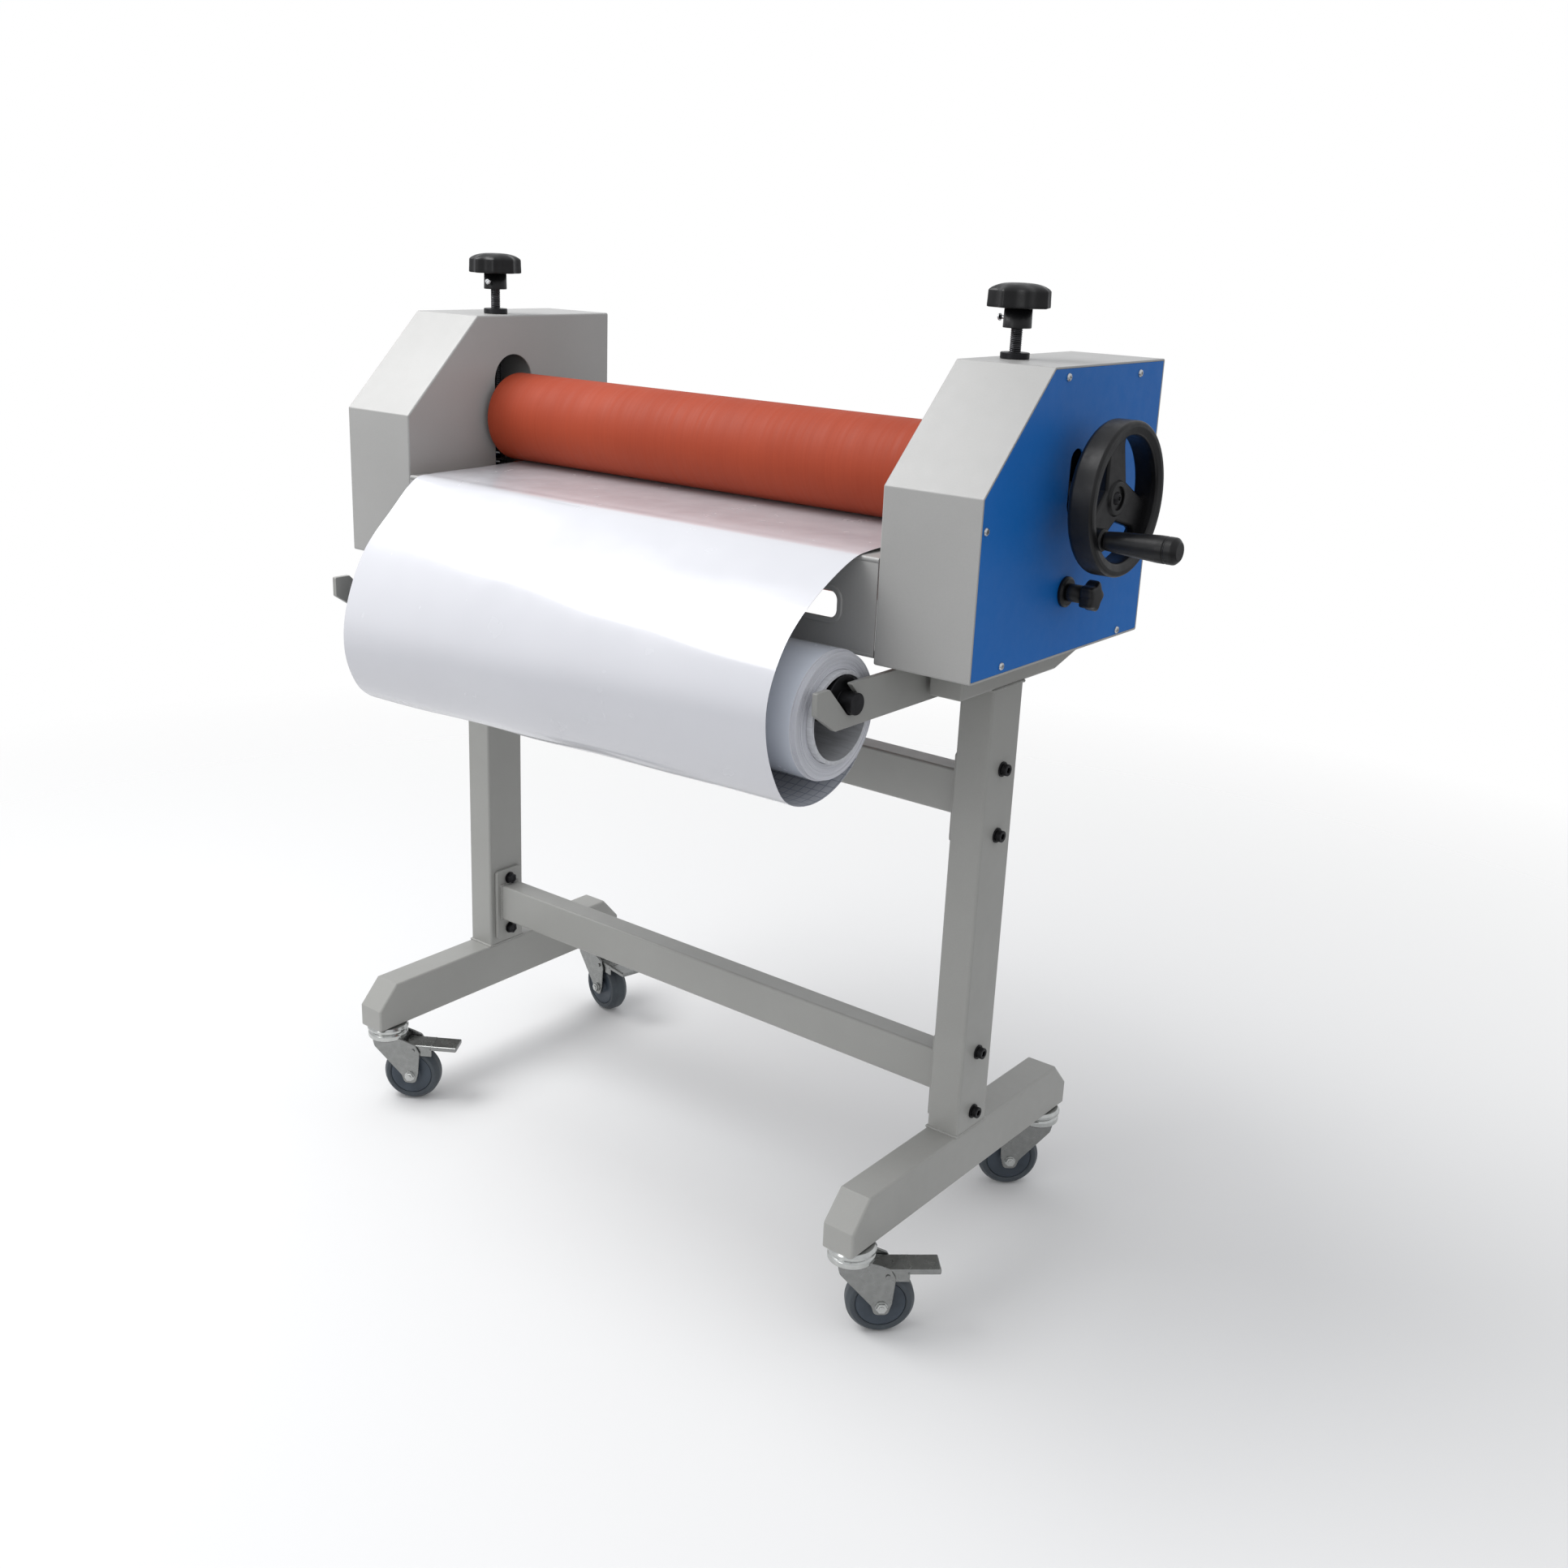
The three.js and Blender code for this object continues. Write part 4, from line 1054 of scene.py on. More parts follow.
def housingOutline(box, inset, fold, hole=False):
    _, _, y0, y1, z0, z1 = box
    corner = inset * 0.414  # the bevel's corners move by the tangent of 22.5 degrees
    bevel = housing["bevel"]
    points = [(y0 + inset, z0 + inset, fold), (y1 - inset, z0 + inset, fold), (y1 - inset, z1 - inset, fold),
              (y0 + bevel + corner, z1 - inset, fold), (y0 + inset, z1 - bevel - corner, fold)]
    return rounded(points[::-1] if hole else points)


def makeHousings():
    h = housing
    axisY = centreOf("top_roller_shaft").y
    for label, side in sides:
        box = span(label + "_housing")
        near, far = (box[0], box[1]) if side > 0 else (-box[1], -box[0])
        z0 = box[4]
        outline = housingOutline(box, 0, h["fold"])
        half, spring = h["slotHalf"], h["slotTop"] - h["slotHalf"]
        arch = [(axisY + half, z0 + h["slotRise"], 1), (axisY - half, z0 + h["slotRise"], 1)]
        for k in range(h["slotSteps"] + 1):
            a = pi - pi * k / h["slotSteps"]
            arch.append((axisY + half * math.cos(a), spring + half * math.sin(a)))
        wall = slabX(outline, near, near + h["fold"] + 0.03, holes=[rounded(arch)],
                     edge=(h["fold"] - 0.05, 0.01), steps=6, holeEdge=0.1)
        tray = slabX(outline, near + h["fold"], far, holes=[housingOutline(box, h["wall"], 1.2, True)],
                     edge=(0.01, 0.6))
        back = far - h["sunk"][label] - h["panel"]
        flange = slabX(housingOutline(box, h["wall"] - 0.2, 1), back - 2.6, back - 0.4,
                       holes=[housingOutline(box, h["wall"] + h["flange"], 1.5, True)], edge=0.3)
        guides = []
        for s in (-1, 1):
            a, b = sorted((axisY + s * (half + 0.1), axisY + s * (half + h["guideThick"])))
            low, high = (near + end for end in h["guideEnds"])
            guides.append(slab(rectangle(low, high, a, b, 0.5), z0 + 2, h["guideTop"], edge=0.6))
        form = sided(join(wall, tray, flange, *guides), side)
        makePiece(label + "_housing_shell", form, ["paleGrey"], root,
                  [label + "_housing"])
        holes = []
        if side > 0:
            p = panelSlot
            slot = rectangle(axisY - p["half"], axisY + p["half"], p["bottom"], p["top"],
                             p["half"] - 0.1, True, 12)
            holes = [slot, circle(axisY, centreOf("bottom_roller_shaft").z, p["lowerHole"], 32, True)]
        face = far - h["sunk"][label]
        plate = housingOutline(box, h["panelGap"], 1.5)
        panel = slabX(plate, face - h["panel"], face, holes=holes, edge=0.45)
        makePiece(label + "_panel", sided(panel, side), ["blue"], root, [label + "_end_panel"])
        spots = [((side * (face - 0.1), y, z), (side, 0, 0)) for y, z in h["screws"]]
        addFasteners(label + "_panel_screws", "pan", spots, "bright", root, seed=4)


makeHousings()
print("housings made")


# ---- tables
bed = {"sheet": 2, "lipIn": 22, "lipDown": 6, "fold": 2.6, "turn": 5, "rim": 6.2, "proud": 1.5,
       "hold": {"x": 239, "half": 55, "z0": 762, "z1": 789, "corner": 9}}


def makeTables():
    b = bed
    t, fold, turn, grown, proud = (b[key] for key in ("sheet", "fold", "turn", "rim", "proud"))
    for name, front in (("front_table", True), ("rear_table", False)):
        x0, x1, y0, y1, z0, z1 = span(name)
        depth, lip = y1 - y0, z1 - b["lipDown"]
        # drawn for the front, from y = 0 at the apron's face inwards
        top = rounded([(0, z1 - turn), (t, z1 - turn), (t, z1 - t, 0.7), (depth - t, z1 - t, 0.7),
                       (depth - t, lip, 0.3), (depth, lip, 0.3), (depth, z1, fold), (0, z1, fold)])
        foot = rounded([(0, z0 + turn), (0, z0, fold), (b["lipIn"], z0, 0.4), (b["lipIn"], z0 + t, 0.4),
                        (t, z0 + t, 0.7), (t, z0 + turn)])
        parts = [slabX(top, x0, x1, edge=0.25), slabX(foot, x0, x1, edge=0.25)]
        holes = []
        if front:
            h = b["hold"]
            for k in (-1, 1):
                low, high = k * h["x"] - h["half"], k * h["x"] + h["half"]
                holes.append(rectangle(low, high, h["z0"], h["z1"], h["corner"], True, 8))
                outer = rectangle(low - grown, high + grown, h["z0"] - grown, h["z1"] + grown,
                                  h["corner"] + grown, False, 8)
                parts.append(slabY(outer, -proud, 0.6, holes=[holes[-1]], edge=(0.1, proud - 0.1), steps=5))
        apron = slabY(rectangle(x0, x1, z0 + turn, z1 - turn, 0.2), 0, t, holes=holes, edge=0.2)
        place = Matrix.Translation((0, y0 if front else y1, 0))
        if not front:
            place = place @ Matrix.Diagonal((1, -1, 1, 1))
        form = moved(join(*parts, apron), place)
        makePiece(name + "_sheet", form, ["paleGrey"], root, [name])


makeTables()
print("tables made")

# ---- rollers
rollers = {"fillet": 2.5, "bore": {"top": 20.3, "bottom": 18.3}, "journal": 14, "step": 4,
           "drive": {"top": 10, "bottom": 5}}


def makeRollers():
    for which, body in (("top", "top_roller"), ("bottom", "bottom_roller")):
        x0, x1, _, _, z0, z1 = span(which + "_roller_sleeve")
        axis = centreOf(which + "_roller_sleeve")
        r, bore, f = (z1 - z0) / 2, rollers["bore"][which], rollers["fillet"]
        sleeve = latheX([(bore, x0, 0.5), (r, x0, f), (r, x1, f), (bore, x1, 0.5)], axis.y, axis.z,
                        turns=128, closed=True)
        makePiece(which + "_roller_rubber", sleeve, ["rubber"], body,
                  [which + "_roller_sleeve"])
        s0, s1 = span(which + "_roller_shaft")[:2]
        core, neck, step, thin = bore - 0.3, rollers["journal"], rollers["step"], rollers["drive"][which]
        line = [(0, s0), (neck, s0, 1), (neck, x0 - step, 0.6), (core, x0 - step, 0.6),
                (core, x1 + step, 0.6), (neck, x1 + step, 0.6), (neck, step - s0, 0.8),
                (thin, step - s0, 0.5), (thin, s1, 0.8), (0, s1)]
        shaft = latheX(line, axis.y, axis.z, turns=64)
        makePiece(which + "_roller_steel", shaft, ["steel"], body, [which + "_roller_shaft"])
    for side in ("left", "right"):
        for level in ("top", "bottom"):
            paint(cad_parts[f"{side}_{level}_block"], "iron")
        paint(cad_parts[side + "_lift_spring"], "spring")


def paint(node, look):
    node.data.materials.clear()
    node.data.materials.append(finishes[look])


makeRollers()
print("rollers made")

# ---- pressure screws and their knobs
knob = {"lobes": 8, "flute": 4.3, "fade": 0.55, "round": 176, "bore": 6.1, "hub": 14, "hubHeight": 19,
        "tall": 23.5, "profile": [
            (0.3, 0.0), (0.86, 0.0), (0.97, 0.5), (1.0, 1.6), (0.992, 8), (0.985, 15.2), (0.972, 16.4),
            (0.945, 17.4), (0.87, 19.0), (0.75, 20.7), (0.6, 22.1), (0.42, 23.0), (0.22, 23.4), (0.001, 23.5)]}
setScrew = {"out": 8.2, "height": 9.3, "radius": 1.9, "size": 0.92,
            "aim": {"left": Vector((0.35, -0.94, 0)).normalized(), "right": Vector((-1, 0, 0))}}
screw = {"core": 5.15, "pitch": 1.75, "threadRadius": 0.0051, "ridge": 0.00088, "clear": 4,
         "collarBore": 6.4, "collar": 14.5}


def lobedForm(radius, lobes, flute, profile, count, fade):
    # rings of a knob, fluted between its lobes more and more towards the rim
    rows = []
    for share, height in profile:
        row = []
        for k in range(count):
            a = 2 * pi * k / count
            dip = (0.5 - 0.5 * math.cos(lobes * a)) ** 0.75
            cut = flute * dip * max(0.0, min(1.0, (share - fade) / (1 - fade)))
            r = share * radius - cut
            row.append((r * math.cos(a), r * math.sin(a), height))
        rows.append(row)
    return rows


def softRows(rows, extra=3):
    # more rows between the given ones on a smooth curve, tight where the given rows lie close
    made = []
    last = len(rows) - 1
    for i in range(last):
        before, a, b, after = rows[max(i - 1, 0)], rows[i], rows[i + 1], rows[min(i + 2, last)]
        for s in range(extra):
            t = s / extra
            row = []
            for p0, p1, p2, p3 in zip(before, a, b, after):
                row.append([p1[n] + 0.5 * t * (p2[n] - p0[n] + t * (2 * p0[n] - 5 * p1[n] + 4 * p2[n] - p3[n]
                            + t * (3 * (p1[n] - p2[n]) + p3[n] - p0[n]))) for n in range(3)])
            made.append(row)
    made.append(rows[-1])
    return made


def makeKnobs():
    k = knob
    for label, _ in sides:
        x0, x1, _, _, z0, z1 = span(label + "_pressure_knob")
        middle = centreOf(label + "_pressure_screw")
        top = z0 + k["hubHeight"]
        scale = (z1 - z0 - k["hubHeight"]) / k["tall"]
        rows = lobedForm((x1 - x0) / 2, k["lobes"], k["flute"], k["profile"], k["round"], k["fade"])
        cap = netForm(softRows([[(x, y, z * scale) for x, y, z in row] for row in rows]), capped=True)
        hub = lathe([(k["bore"], z0, 0.3), (k["hub"] + 0.1, z0, 0.8), (k["hub"] - 0.3, top + 0.5, 0),
                     (k["bore"], top + 0.5, 0)], 48, closed=True)
        body = label + "_screw_and_knob"
        form = shifted(join(shifted(cap, 0, 0, top), hub), middle.x, middle.y, 0)
        makePiece(label + "_knob", form, ["plastic"], body, [label + "_pressure_knob"])
        # the set screw stands out of the hub
        aim, start, end = setScrew["aim"][label], k["hub"] - 3, k["hub"] + setScrew["out"]
        foot = Vector((middle.x, middle.y, z0 + setScrew["height"]))
        r = setScrew["radius"]
        rod = latheX([(0, start), (r, start), (r, end - 2.4), (0, end - 2.4)], turns=20)
        turn = Matrix.Translation(foot) @ Matrix.Rotation(math.atan2(aim.y, aim.x), 4, "Z")
        makePiece(label + "_set_screw_shank", moved(rod, turn), ["bright"], body)
        addFasteners(label + "_set_screw_head", "pan", [(foot + aim * (end - 2.6), aim)], "bright", body,
                     size=setScrew["size"], seed=8)
        s0, s1 = span(label + "_pressure_screw")[4:]
        r = screw["core"]
        rod = lathe([(0, s0), (r, s0, 0.6), (r, s1, 0.6), (0, s1)], 40)
        rod = shifted(rod, middle.x, middle.y, 0)
        makePiece(label + "_screw_core", rod, ["oxide"], body, [label + "_pressure_screw"])
        low, high = s0 + screw["clear"], z0 + screw["clear"]
        thread = grow(label + "_screw_thread", "thread", {
            "Turns": (high - low) / screw["pitch"], "Radius": screw["threadRadius"],
            "Height": (high - low) / 1000, "Ridge": screw["ridge"],
            "Foot": Vector((middle.x, middle.y, low)) / 1000 + home, "Finish": finishes["thread"]})
        register(thread, body)
        c0, c1 = span(label + "_screw_collar")[4:]
        bore, r = screw["collarBore"], screw["collar"]
        ring = lathe([(bore, c0, 0.2), (r, c0, 0.5), (r, c1, 0.9), (bore, c1, 0.4)], 64, closed=True)
        makePiece(label + "_collar", shifted(ring, middle.x, middle.y, 0), ["oxide"], root,
                  [label + "_screw_collar"])


makeKnobs()
print("pressure screws made")

# ---- handwheel, crank grip and star knob
wheel = {"inner": 61, "rim": (482, 509), "spokes": (485.5, 496), "hub": 17, "hubTop": 498.5, "bore": 10.3,
         "recess": 11.5, "seat": 494, "pin": 4, "boss": 11,
         # how far out, half width and fillet; the far two are shares of the rim's inner radius
         "arms": ((12, 20, 9), (0.86, 15.5, 13), (1.06, 27, 1)),
         "washer": (4, 10.6, 1.4), "screwSize": 1.25, "gripBore": 4.3, "pinShort": 14}


def makeHandwheel():
    w = wheel
    axis = centreOf("top_roller_shaft")
    grip = centreOf("crank_handle")
    x0, _, _, _, z0, z1 = span("handwheel")
    radius, middle = (z1 - z0) / 2, (z0 + z1) / 2
    rimLow, rimHigh = w["rim"]
    spokeLow, spokeHigh = w["spokes"]
    rim = lathe([(w["inner"] + 1, rimLow, 4), (radius, rimLow, 6), (radius, rimHigh, 5),
                 (radius - 6, rimHigh + 0.2, 4), (w["inner"] + 0.4, rimHigh - 1.5, 3),
                 (w["inner"], rimHigh - 8, 6)], 128, 7, closed=True)
    angle = math.atan2(grip.z - middle, grip.y - axis.y)
    legs = [(d if d > 2 else d * w["inner"], half, fillet) for d, half, fillet in w["arms"]]
    star = []
    for k in range(3):
        a = angle + 2 * pi * k / 3
        along, across = Vector((math.cos(a), math.sin(a))), Vector((-math.sin(a), math.cos(a)))
        for side, run in ((-1, legs), (1, legs[::-1])):
            for d, half, fillet in run:
                p = along * d + across * side * half
                star.append((p.x, p.y, fillet))
    spokes = slab(rounded(star, 6), spokeLow, spokeHigh, edge=3.2, steps=5)
    hub = lathe([(w["bore"], x0, 0.6), (w["hub"] - 2, x0, 1.5), (w["hub"], spokeLow, 2),
                 (w["hub"] + 1.5, spokeHigh - 1, 2.5), (w["hub"] - 1, w["hubTop"], 1.8),
                 (w["recess"], w["hubTop"], 0.8), (w["recess"], w["seat"], 0.5), (w["bore"], w["seat"], 0.3)],
                64, closed=True)
    form = shifted(moved(join(rim, spokes, hub), alongX), 0, axis.y, middle)
    end = span("crank_handle")[1] - w["pinShort"]
    boss = latheX([(0, spokeLow), (w["boss"], spokeLow, 1), (w["boss"], rimHigh - 1.5, 1),
                   (w["boss"] - 1.5, rimHigh + 0.8, 1.2), (0, rimHigh + 0.8)], grip.y, grip.z, turns=40)
    pin = latheX([(0, rimHigh), (w["pin"], rimHigh), (w["pin"], end, 0.4), (0, end)], grip.y, grip.z,
                 turns=24, look=1)
    makePiece("handwheel_body", join(form, boss, pin), ["plastic", "bright"], "top_roller",
              ["handwheel"])
    # washer and screw on the shaft's end, sunk in the hub's recess
    base, (bore, r, thick) = w["seat"], w["washer"]
    washer = latheX([(bore, base, 0.2), (r, base, 0.3), (r, base + thick, 0.3), (bore, base + thick, 0.2)],
                    axis.y, middle, turns=40, closed=True)
    makePiece("handwheel_washer", washer, ["oxide"], "top_roller")
    addFasteners("handwheel_screw", "button", [((base + 1.2, axis.y, middle), (1, 0, 0))], "oxide",
                 "top_roller", size=w["screwSize"], seed=2)
    c0, c1 = span("crank_handle")[:2]
    handle = latheX([
        (w["gripBore"], c0 + 0.2, 0.2), (9, c0 + 0.2, 1.2), (10.2, c0 + 13, 20), (11.6, c0 + 32, 30),
        (13, c1 - 20, 12), (13, c1 - 13.6, 0.5), (12.2, c1 - 12.9, 0.3), (12.2, c1 - 11.9, 0.3),
        (13, c1 - 11.2, 0.5), (13, c1 - 4, 4), (9, c1, 3), (0, c1), (0, end + 0.5),
        (w["gripBore"], end + 0.5)],
        grip.y, grip.z, turns=56, steps=6, closed=True)
    makePiece("crank_grip_shell", handle, ["plastic"], "crank_grip", ["crank_handle"])


starKnob = {"radius": 16, "lobes": 5, "flute": 4.0, "round": 120, "fade": 0.45, "bore": 5.4, "neck": 9,
            "neckShort": 12, "flange": 15.5, "flangeTop": 13.2, "flangeEdge": 3,
            # share of the radius, and depth below the top
            "profile": [(0.3, 14), (0.85, 14), (0.97, 13.2), (1.0, 11.6), (1.0, 4.6), (0.96, 2.4),
                        (0.86, 1.0), (0.7, 0.4), (0.45, 0.1), (0.2, 0), (0.001, 0)]}


def makeStarKnob():
    k = starKnob
    x0, x1 = span("star_knob")[:2]
    axis = centreOf("bottom_roller_shaft")
    profile = [(share, x1 - down) for share, down in k["profile"]]
    rows = lobedForm(k["radius"], k["lobes"], k["flute"], profile, k["round"], k["fade"])
    head = netForm(softRows(rows), capped=True)
    top = x1 - k["neckShort"]
    neck = lathe([(k["bore"], x0, 0.2), (k["neck"], x0, 0.6), (k["neck"], top), (k["bore"], top)],
                 40, closed=True)
    form = shifted(moved(join(head, neck), alongX), 0, axis.y, axis.z)
    makePiece("star_knob_head", form, ["plastic"], "bottom_roller", ["star_knob"])
    f0, f1 = span("star_knob_flange")[:2]
    flange = latheX([(k["bore"], f0, 0.2), (k["flange"], f0, 0.3), (k["flange"], f0 + k["flangeEdge"], 0.8),
                     (k["flangeTop"], f1, 0.8), (k["bore"], f1, 0.2)], axis.y, axis.z, turns=56, closed=True)
    makePiece("star_knob_seat", flange, ["plastic"], root, ["star_knob_flange"])


makeHandwheel()
makeStarKnob()
print("controls made")

# ---- film supply: arms, bar, core, roll and the free web
arms = {"seat": 11.8, "seatSteps": 24, "frontDrop": 22, "nose": 32, "thick": 6, "screws": [-76, -34],
        "screwZ": 703, "pad": (9, 5, 10.7)}


def makeArms():
    a = arms
    bar = centreOf("supply_shaft")
    for label, side in sides:
        x0, x1, y0, y1, z0, z1 = span(label + "_supply_arm")
        near = min(abs(x0), abs(x1))
        # the bar lies in a half round at the foot of a notch that slants at 45 degrees
        c, s = math.cos(pi / 4), a["seat"]
        up = z1 - bar.z
        seat = [(bar.y + s * c - (up - s * c), z1, 1)]
        for k in range(a["seatSteps"] + 1):
            t = math.radians(45 - 180 * k / a["seatSteps"])
            seat.append((bar.y + s * math.cos(t), bar.z + s * math.sin(t)))
        seat.append((bar.y - s * c - (up + s * c), z1, 1))
        outline = rounded([(y0, z1 - a["frontDrop"], 2), (y0 + a["nose"], z0, 3), (y1, z0, 1.5),
                           (y1, z1, 1.5), *seat, (y0, z1, 1.5)], 4)
        plate = slabX(outline, near, near + a["thick"], edge=0.7)
        r, low, high = a["pad"]
        profile = [(0, near + low), (r, near + low), (r, near + high, 0.3), (0, near + high)]
        pads = [latheX(profile, y, a["screwZ"], turns=36) for y in a["screws"]]
        makePiece(label + "_arm", sided(join(plate, *pads), side), ["grey"], root,
                  [label + "_supply_arm"])
        spots = [((side * near, y, a["screwZ"]), (-side, 0, 0)) for y in a["screws"]]
        addFasteners(label + "_arm_screws", "button", spots, "bright", root, seed=6)


supply = {"tube": 25, "tubeHalf": 344, "pin": 11, "boreR": 42.5, "coreR": 46.2, "layer": 0.75,
          "telescope": 0.28, "endDepth": 5.4, "rollEnds": (6, 330), "draws": 41}


def windings(radius, at, sign, chance):
    # wound layers standing a little in and out of line, from the core to the outside
    s = supply
    line, r = [], s["coreR"] + 0.35
    while r < radius - 1.6:
        far = at + sign * (s["endDepth"] if r < radius - 2.6 else 0)
        x = far + chance.uniform(-1, 1) * s["telescope"]
        line += [(r, x, 0.08), (r + s["layer"] - 0.04, x, 0.08)]
        r += s["layer"]
    return line


def makeSupply():
    s = supply
    bar = centreOf("supply_shaft")
    b0, b1 = span("supply_shaft")[:2]
    pin, wide, half = s["pin"], s["tube"], s["tubeHalf"]
    tube = latheX([(0, b0), (pin, b0, 1), (pin, -half, 0.5), (wide, -half, 1), (wide, half, 1),
                   (pin, half, 0.5), (pin, b1, 1), (0, b1)], bar.y, bar.z, turns=72)
    makePiece("supply_bar_tube", tube, ["oxide"], "supply_bar", ["supply_shaft"])
    axis = centreOf("film_core")
    c0, c1 = span("film_core")[:2]
    bore, outer = s["boreR"], s["coreR"]
    core = latheX([(bore, c0, 0.3), (outer, c0, 0.4), (outer, c1, 0.4), (bore, c1, 0.3)], axis.y, axis.z,
                  turns=96, closed=True)
    makePiece("paper_core", core, ["board"], "film_supply", ["film_core"])
    r0, _, _, _, z0, z1 = span("film_roll")
    radius = (z1 - z0) / 2
    left, right = r0 + s["rollEnds"][0], s["rollEnds"][1]
    chance = random.Random(s["draws"])
    leftEnd = windings(radius, left, -1, chance)
    rightEnd = windings(radius, right, 1, chance)
    skin = [(radius - 0.9, left, 0.1), (radius, left, 0.4), (radius, right, 0.4),
            (radius - 0.9, right, 0.1)]
    form = lathe(leftEnd + skin + rightEnd[::-1], 128, 1, closed=True)
    # the outside is film, in the lighter copy with painted light, and everything on the ends is wound edge
    looks = []
    for face in form["faces"]:
        n = sum((form["normals"][i] for i in face), Vector())
        reach = sum(form["map"][i][1] for i in face) / len(face) * 1000
        looks.append(0 if reach > radius - 0.5 and abs(n.z) < 2 else 1)
    form["looks"] = looks
    roll = shifted(moved(form, alongX), 0, axis.y, axis.z)
    makePiece("wound_film", roll, ["wound", "edge"], "film_supply", ["film_roll"],
              mapped=True)
    return axis, radius, left, right


web = {"thick": 0.3, "half": 318.5, "steps": 150, "across": 56, "endAngle": -0.32, "endGap": 1.1,
       "draws": 17, "waves": 7, "waveSize": 0.35, "inward": 0.8,
       "back": [(40, 834.7), (4, 834.7), (-80, 832.4), (-150, 831.2)],
       "right": [(-176, 827.5), (-237, 798.5), (-282, 762.5), (-309, 716), (-312.5, 680), (-302, 640),
                 (-281, 608), (-247, 596.5), (-208, 602), (-172, 625)],
       "left": [(-173, 829), (-216, 793.5), (-257.4, 752.8), (-284, 703), (-294.5, 662), (-292, 625),
                (-274, 590), (-243, 574), (-205, 584), (-170, 614)]}


def throughPoints(points, count):
    # an even run of points on a centripetal curve through the given ones
    points = [Vector(p) for p in points]
    ends = [2 * points[0] - points[1], *points, 2 * points[-1] - points[-2]]
    dense = []
    for i in range(1, len(ends) - 2):
        p = ends[i - 1:i + 3]
        t = [0.0]
        for a, b in zip(p, p[1:]):
            t.append(t[-1] + (b - a).length ** 0.5)
        for k in range(40):
            u = t[1] + (t[2] - t[1]) * k / 40
            a1 = p[0] * ((t[1] - u) / (t[1] - t[0])) + p[1] * ((u - t[0]) / (t[1] - t[0]))
            a2 = p[1] * ((t[2] - u) / (t[2] - t[1])) + p[2] * ((u - t[1]) / (t[2] - t[1]))
            a3 = p[2] * ((t[3] - u) / (t[3] - t[2])) + p[3] * ((u - t[2]) / (t[3] - t[2]))
            b1 = a1 * ((t[2] - u) / (t[2] - t[0])) + a2 * ((u - t[0]) / (t[2] - t[0]))
            b2 = a2 * ((t[3] - u) / (t[3] - t[1])) + a3 * ((u - t[1]) / (t[3] - t[1]))
            dense.append(b1 * ((t[2] - u) / (t[2] - t[1])) + b2 * ((u - t[1]) / (t[2] - t[1])))
    dense.append(points[-1])
    run = [0.0]
    for a, b in zip(dense, dense[1:]):
        run.append(run[-1] + (b - a).length)
    made, j = [], 0
    for k in range(count + 1):
        want = run[-1] * k / count
        while j < len(run) - 2 and run[j + 1] < want:
            j += 1
        share = (want - run[j]) / max(run[j + 1] - run[j], 1e-9)
        made.append(dense[j].lerp(dense[j + 1], min(share, 1)))
    return made, run[-1]


def smooth(t, low, high):
    # 0 up to low, 1 from high, and an even slope between
    t = max(0.0, min(1.0, (t - low) / (high - low)))
    return t * t * (3 - 2 * t)


def sheetSide(rows, look, flipped, width, length):
    # one face of the sheet, mapped in metres of its flat size
    form = netForm([row[::-1] for row in rows] if flipped else rows, wrap=False, look=look)
    last = len(rows[0]) - 1
    form["map"] = [((last - k if flipped else k) / last * width / 1000, i / (len(rows) - 1) * length / 1000)
                   for i in range(len(rows)) for k in range(last + 1)]
    return form


def border(rows):
    # the loop of points round the outside of a net
    right, left = [row[-1] for row in rows[1:]], [row[0] for row in rows[-2:0:-1]]
    return rows[0] + right + rows[-1][-2::-1] + left


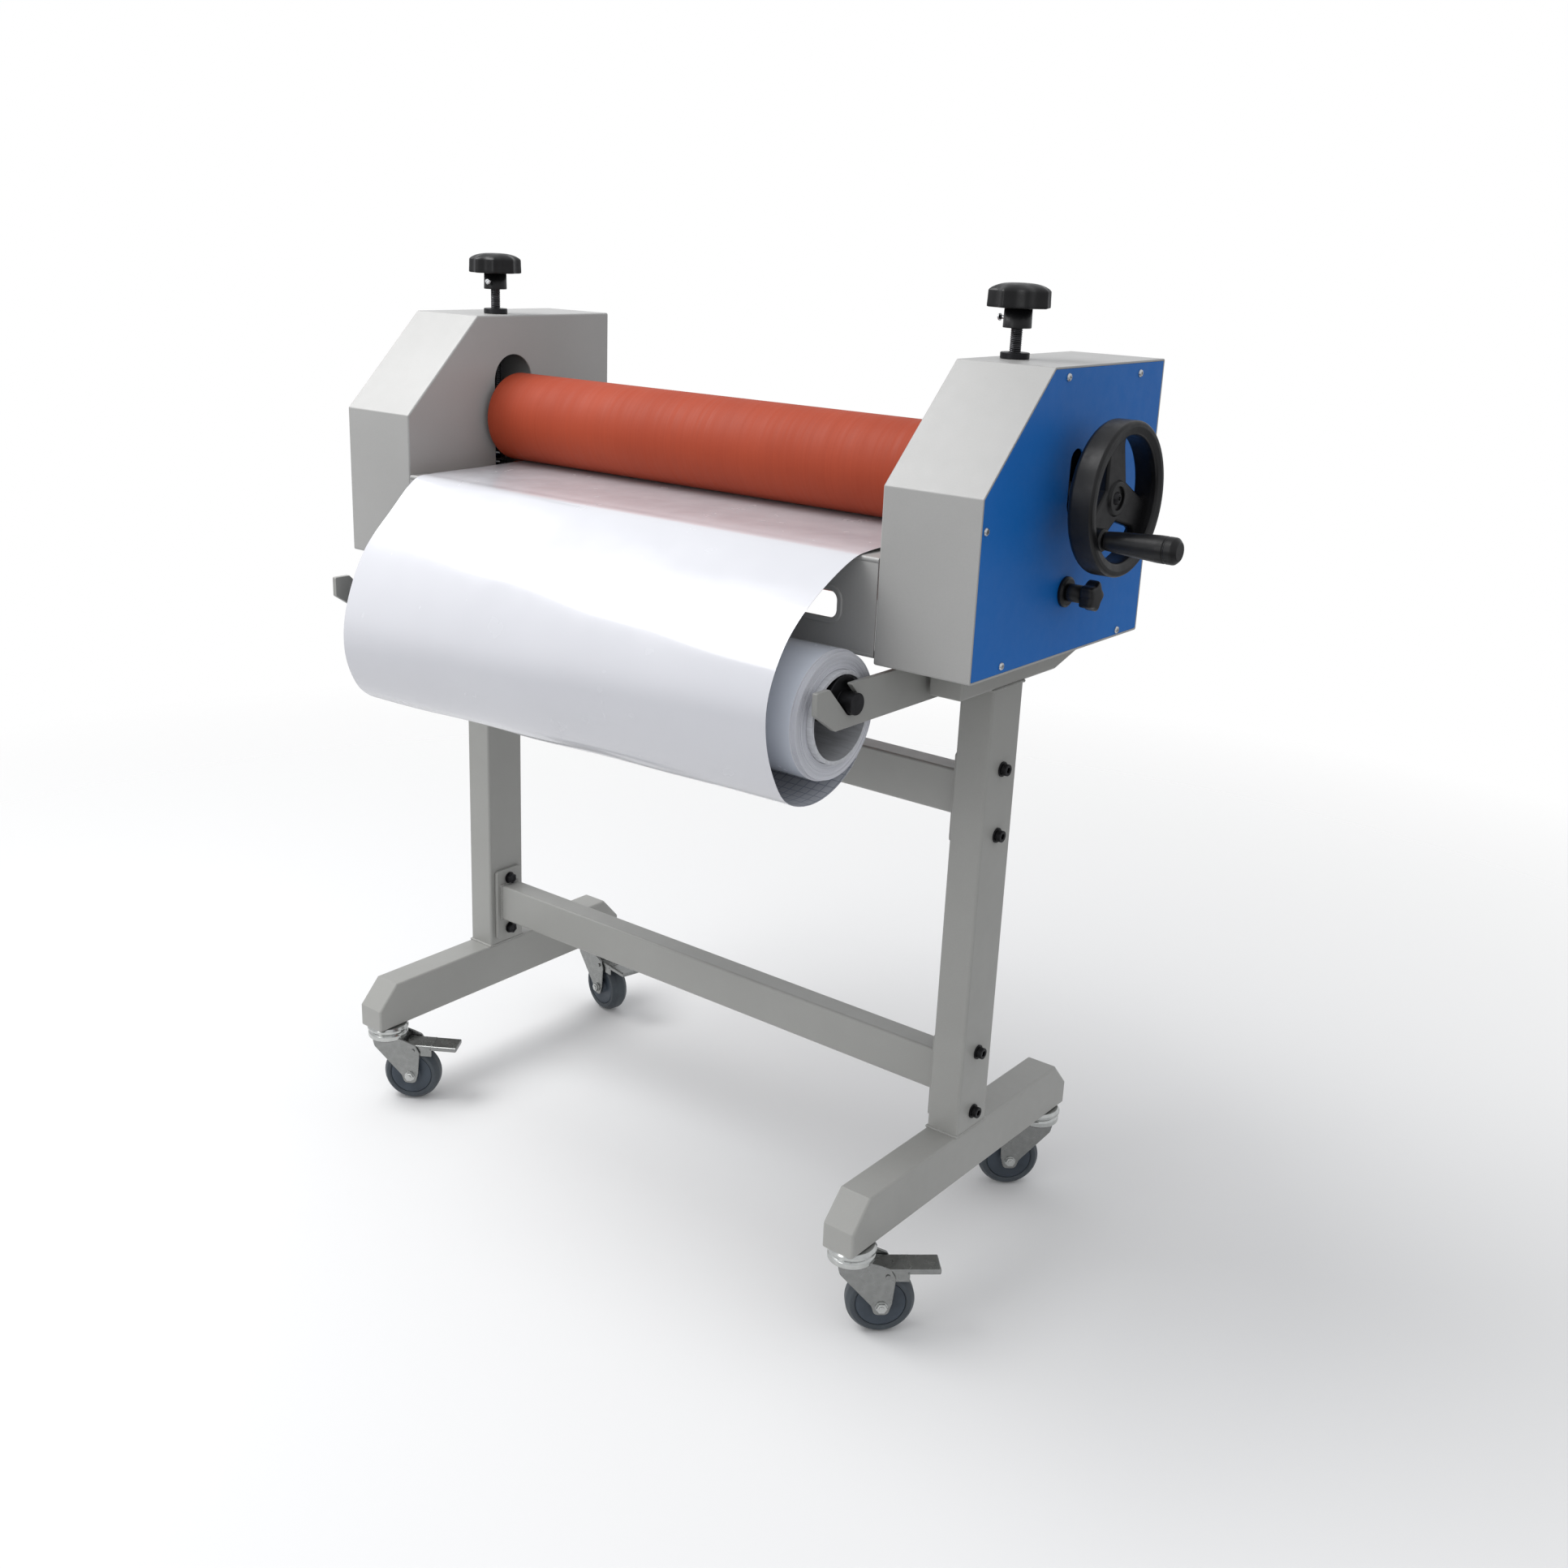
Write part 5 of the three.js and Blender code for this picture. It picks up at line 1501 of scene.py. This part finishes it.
def makeWeb(axis, rollRadius, rollLeft, rollRight):
    w = web
    steps, wide = w["steps"], w["half"]
    angle, reach = w["endAngle"], rollRadius + w["endGap"]
    end = (axis.y + reach * math.cos(angle), axis.z + reach * math.sin(angle))
    edges, lengths = [], []
    for key in ("left", "right"):
        line, length = throughPoints([*w["back"], *w[key], end], steps)
        edges.append(line)
        lengths.append(length)
    chance = random.Random(w["draws"])
    waves = [(chance.uniform(1.2, 3.4), chance.uniform(0, 6.28), chance.uniform(2, 7),
              chance.uniform(0.25, 1.0)) for _ in range(w["waves"])]
    mid = []
    for i in range(steps + 1):
        t = i / steps
        narrow = smooth(t, 0.3, 0.9)
        x0, x1 = -wide + (rollLeft + wide) * narrow, wide + (rollRight - wide) * narrow
        # waves only where the film hangs free
        free = smooth(t, 0.24, 0.42) * (1 - smooth(t, 0.82, 0.97))
        ways = [line[min(i + 1, steps)] - line[max(i - 1, 0)] for line in edges]
        row = []
        for k in range(w["across"] + 1):
            s = k / w["across"]
            p = edges[0][i].lerp(edges[1][i], s)
            way = ways[0].lerp(ways[1], s).normalized()
            wave = sum(size * math.sin(2 * pi * f * s + phase + drift * t) for f, phase, drift, size in waves)
            out = free * (w["waveSize"] * wave - w["inward"])
            row.append(Vector((x0 + (x1 - x0) * s, p.x + way.y * out, p.y - way.x * out)))
        mid.append(row)
    outer, inner = [], []
    for i, row in enumerate(mid):
        top, under = [], []
        for k, p in enumerate(row):
            a, b = mid[min(i + 1, len(mid) - 1)][k], mid[max(i - 1, 0)][k]
            c, d = row[min(k + 1, len(row) - 1)], row[max(k - 1, 0)]
            n = (a - b).cross(c - d).normalized() * (w["thick"] / 2)
            top.append(p + n)
            under.append(p - n)
        outer.append(top)
        inner.append(under)
    width, length = 2 * wide, sum(lengths) / 2
    face = sheetSide(outer, 0, True, width, length)
    back = sheetSide(inner, 1, False, width, length)
    rim = netForm([border(outer), border(inner)])
    rim["map"] = [(0, 0)] * len(rim["points"])
    sheet = join(face, back, rim)
    piece = makePiece("film_sheet", sheet, ["film", "liner"], root, ["film_web"], mapped=True)
    print("film sheet", round(width), "x", round(length), "mm")


makeArms()
makeWeb(*makeSupply())
print("film supply made")
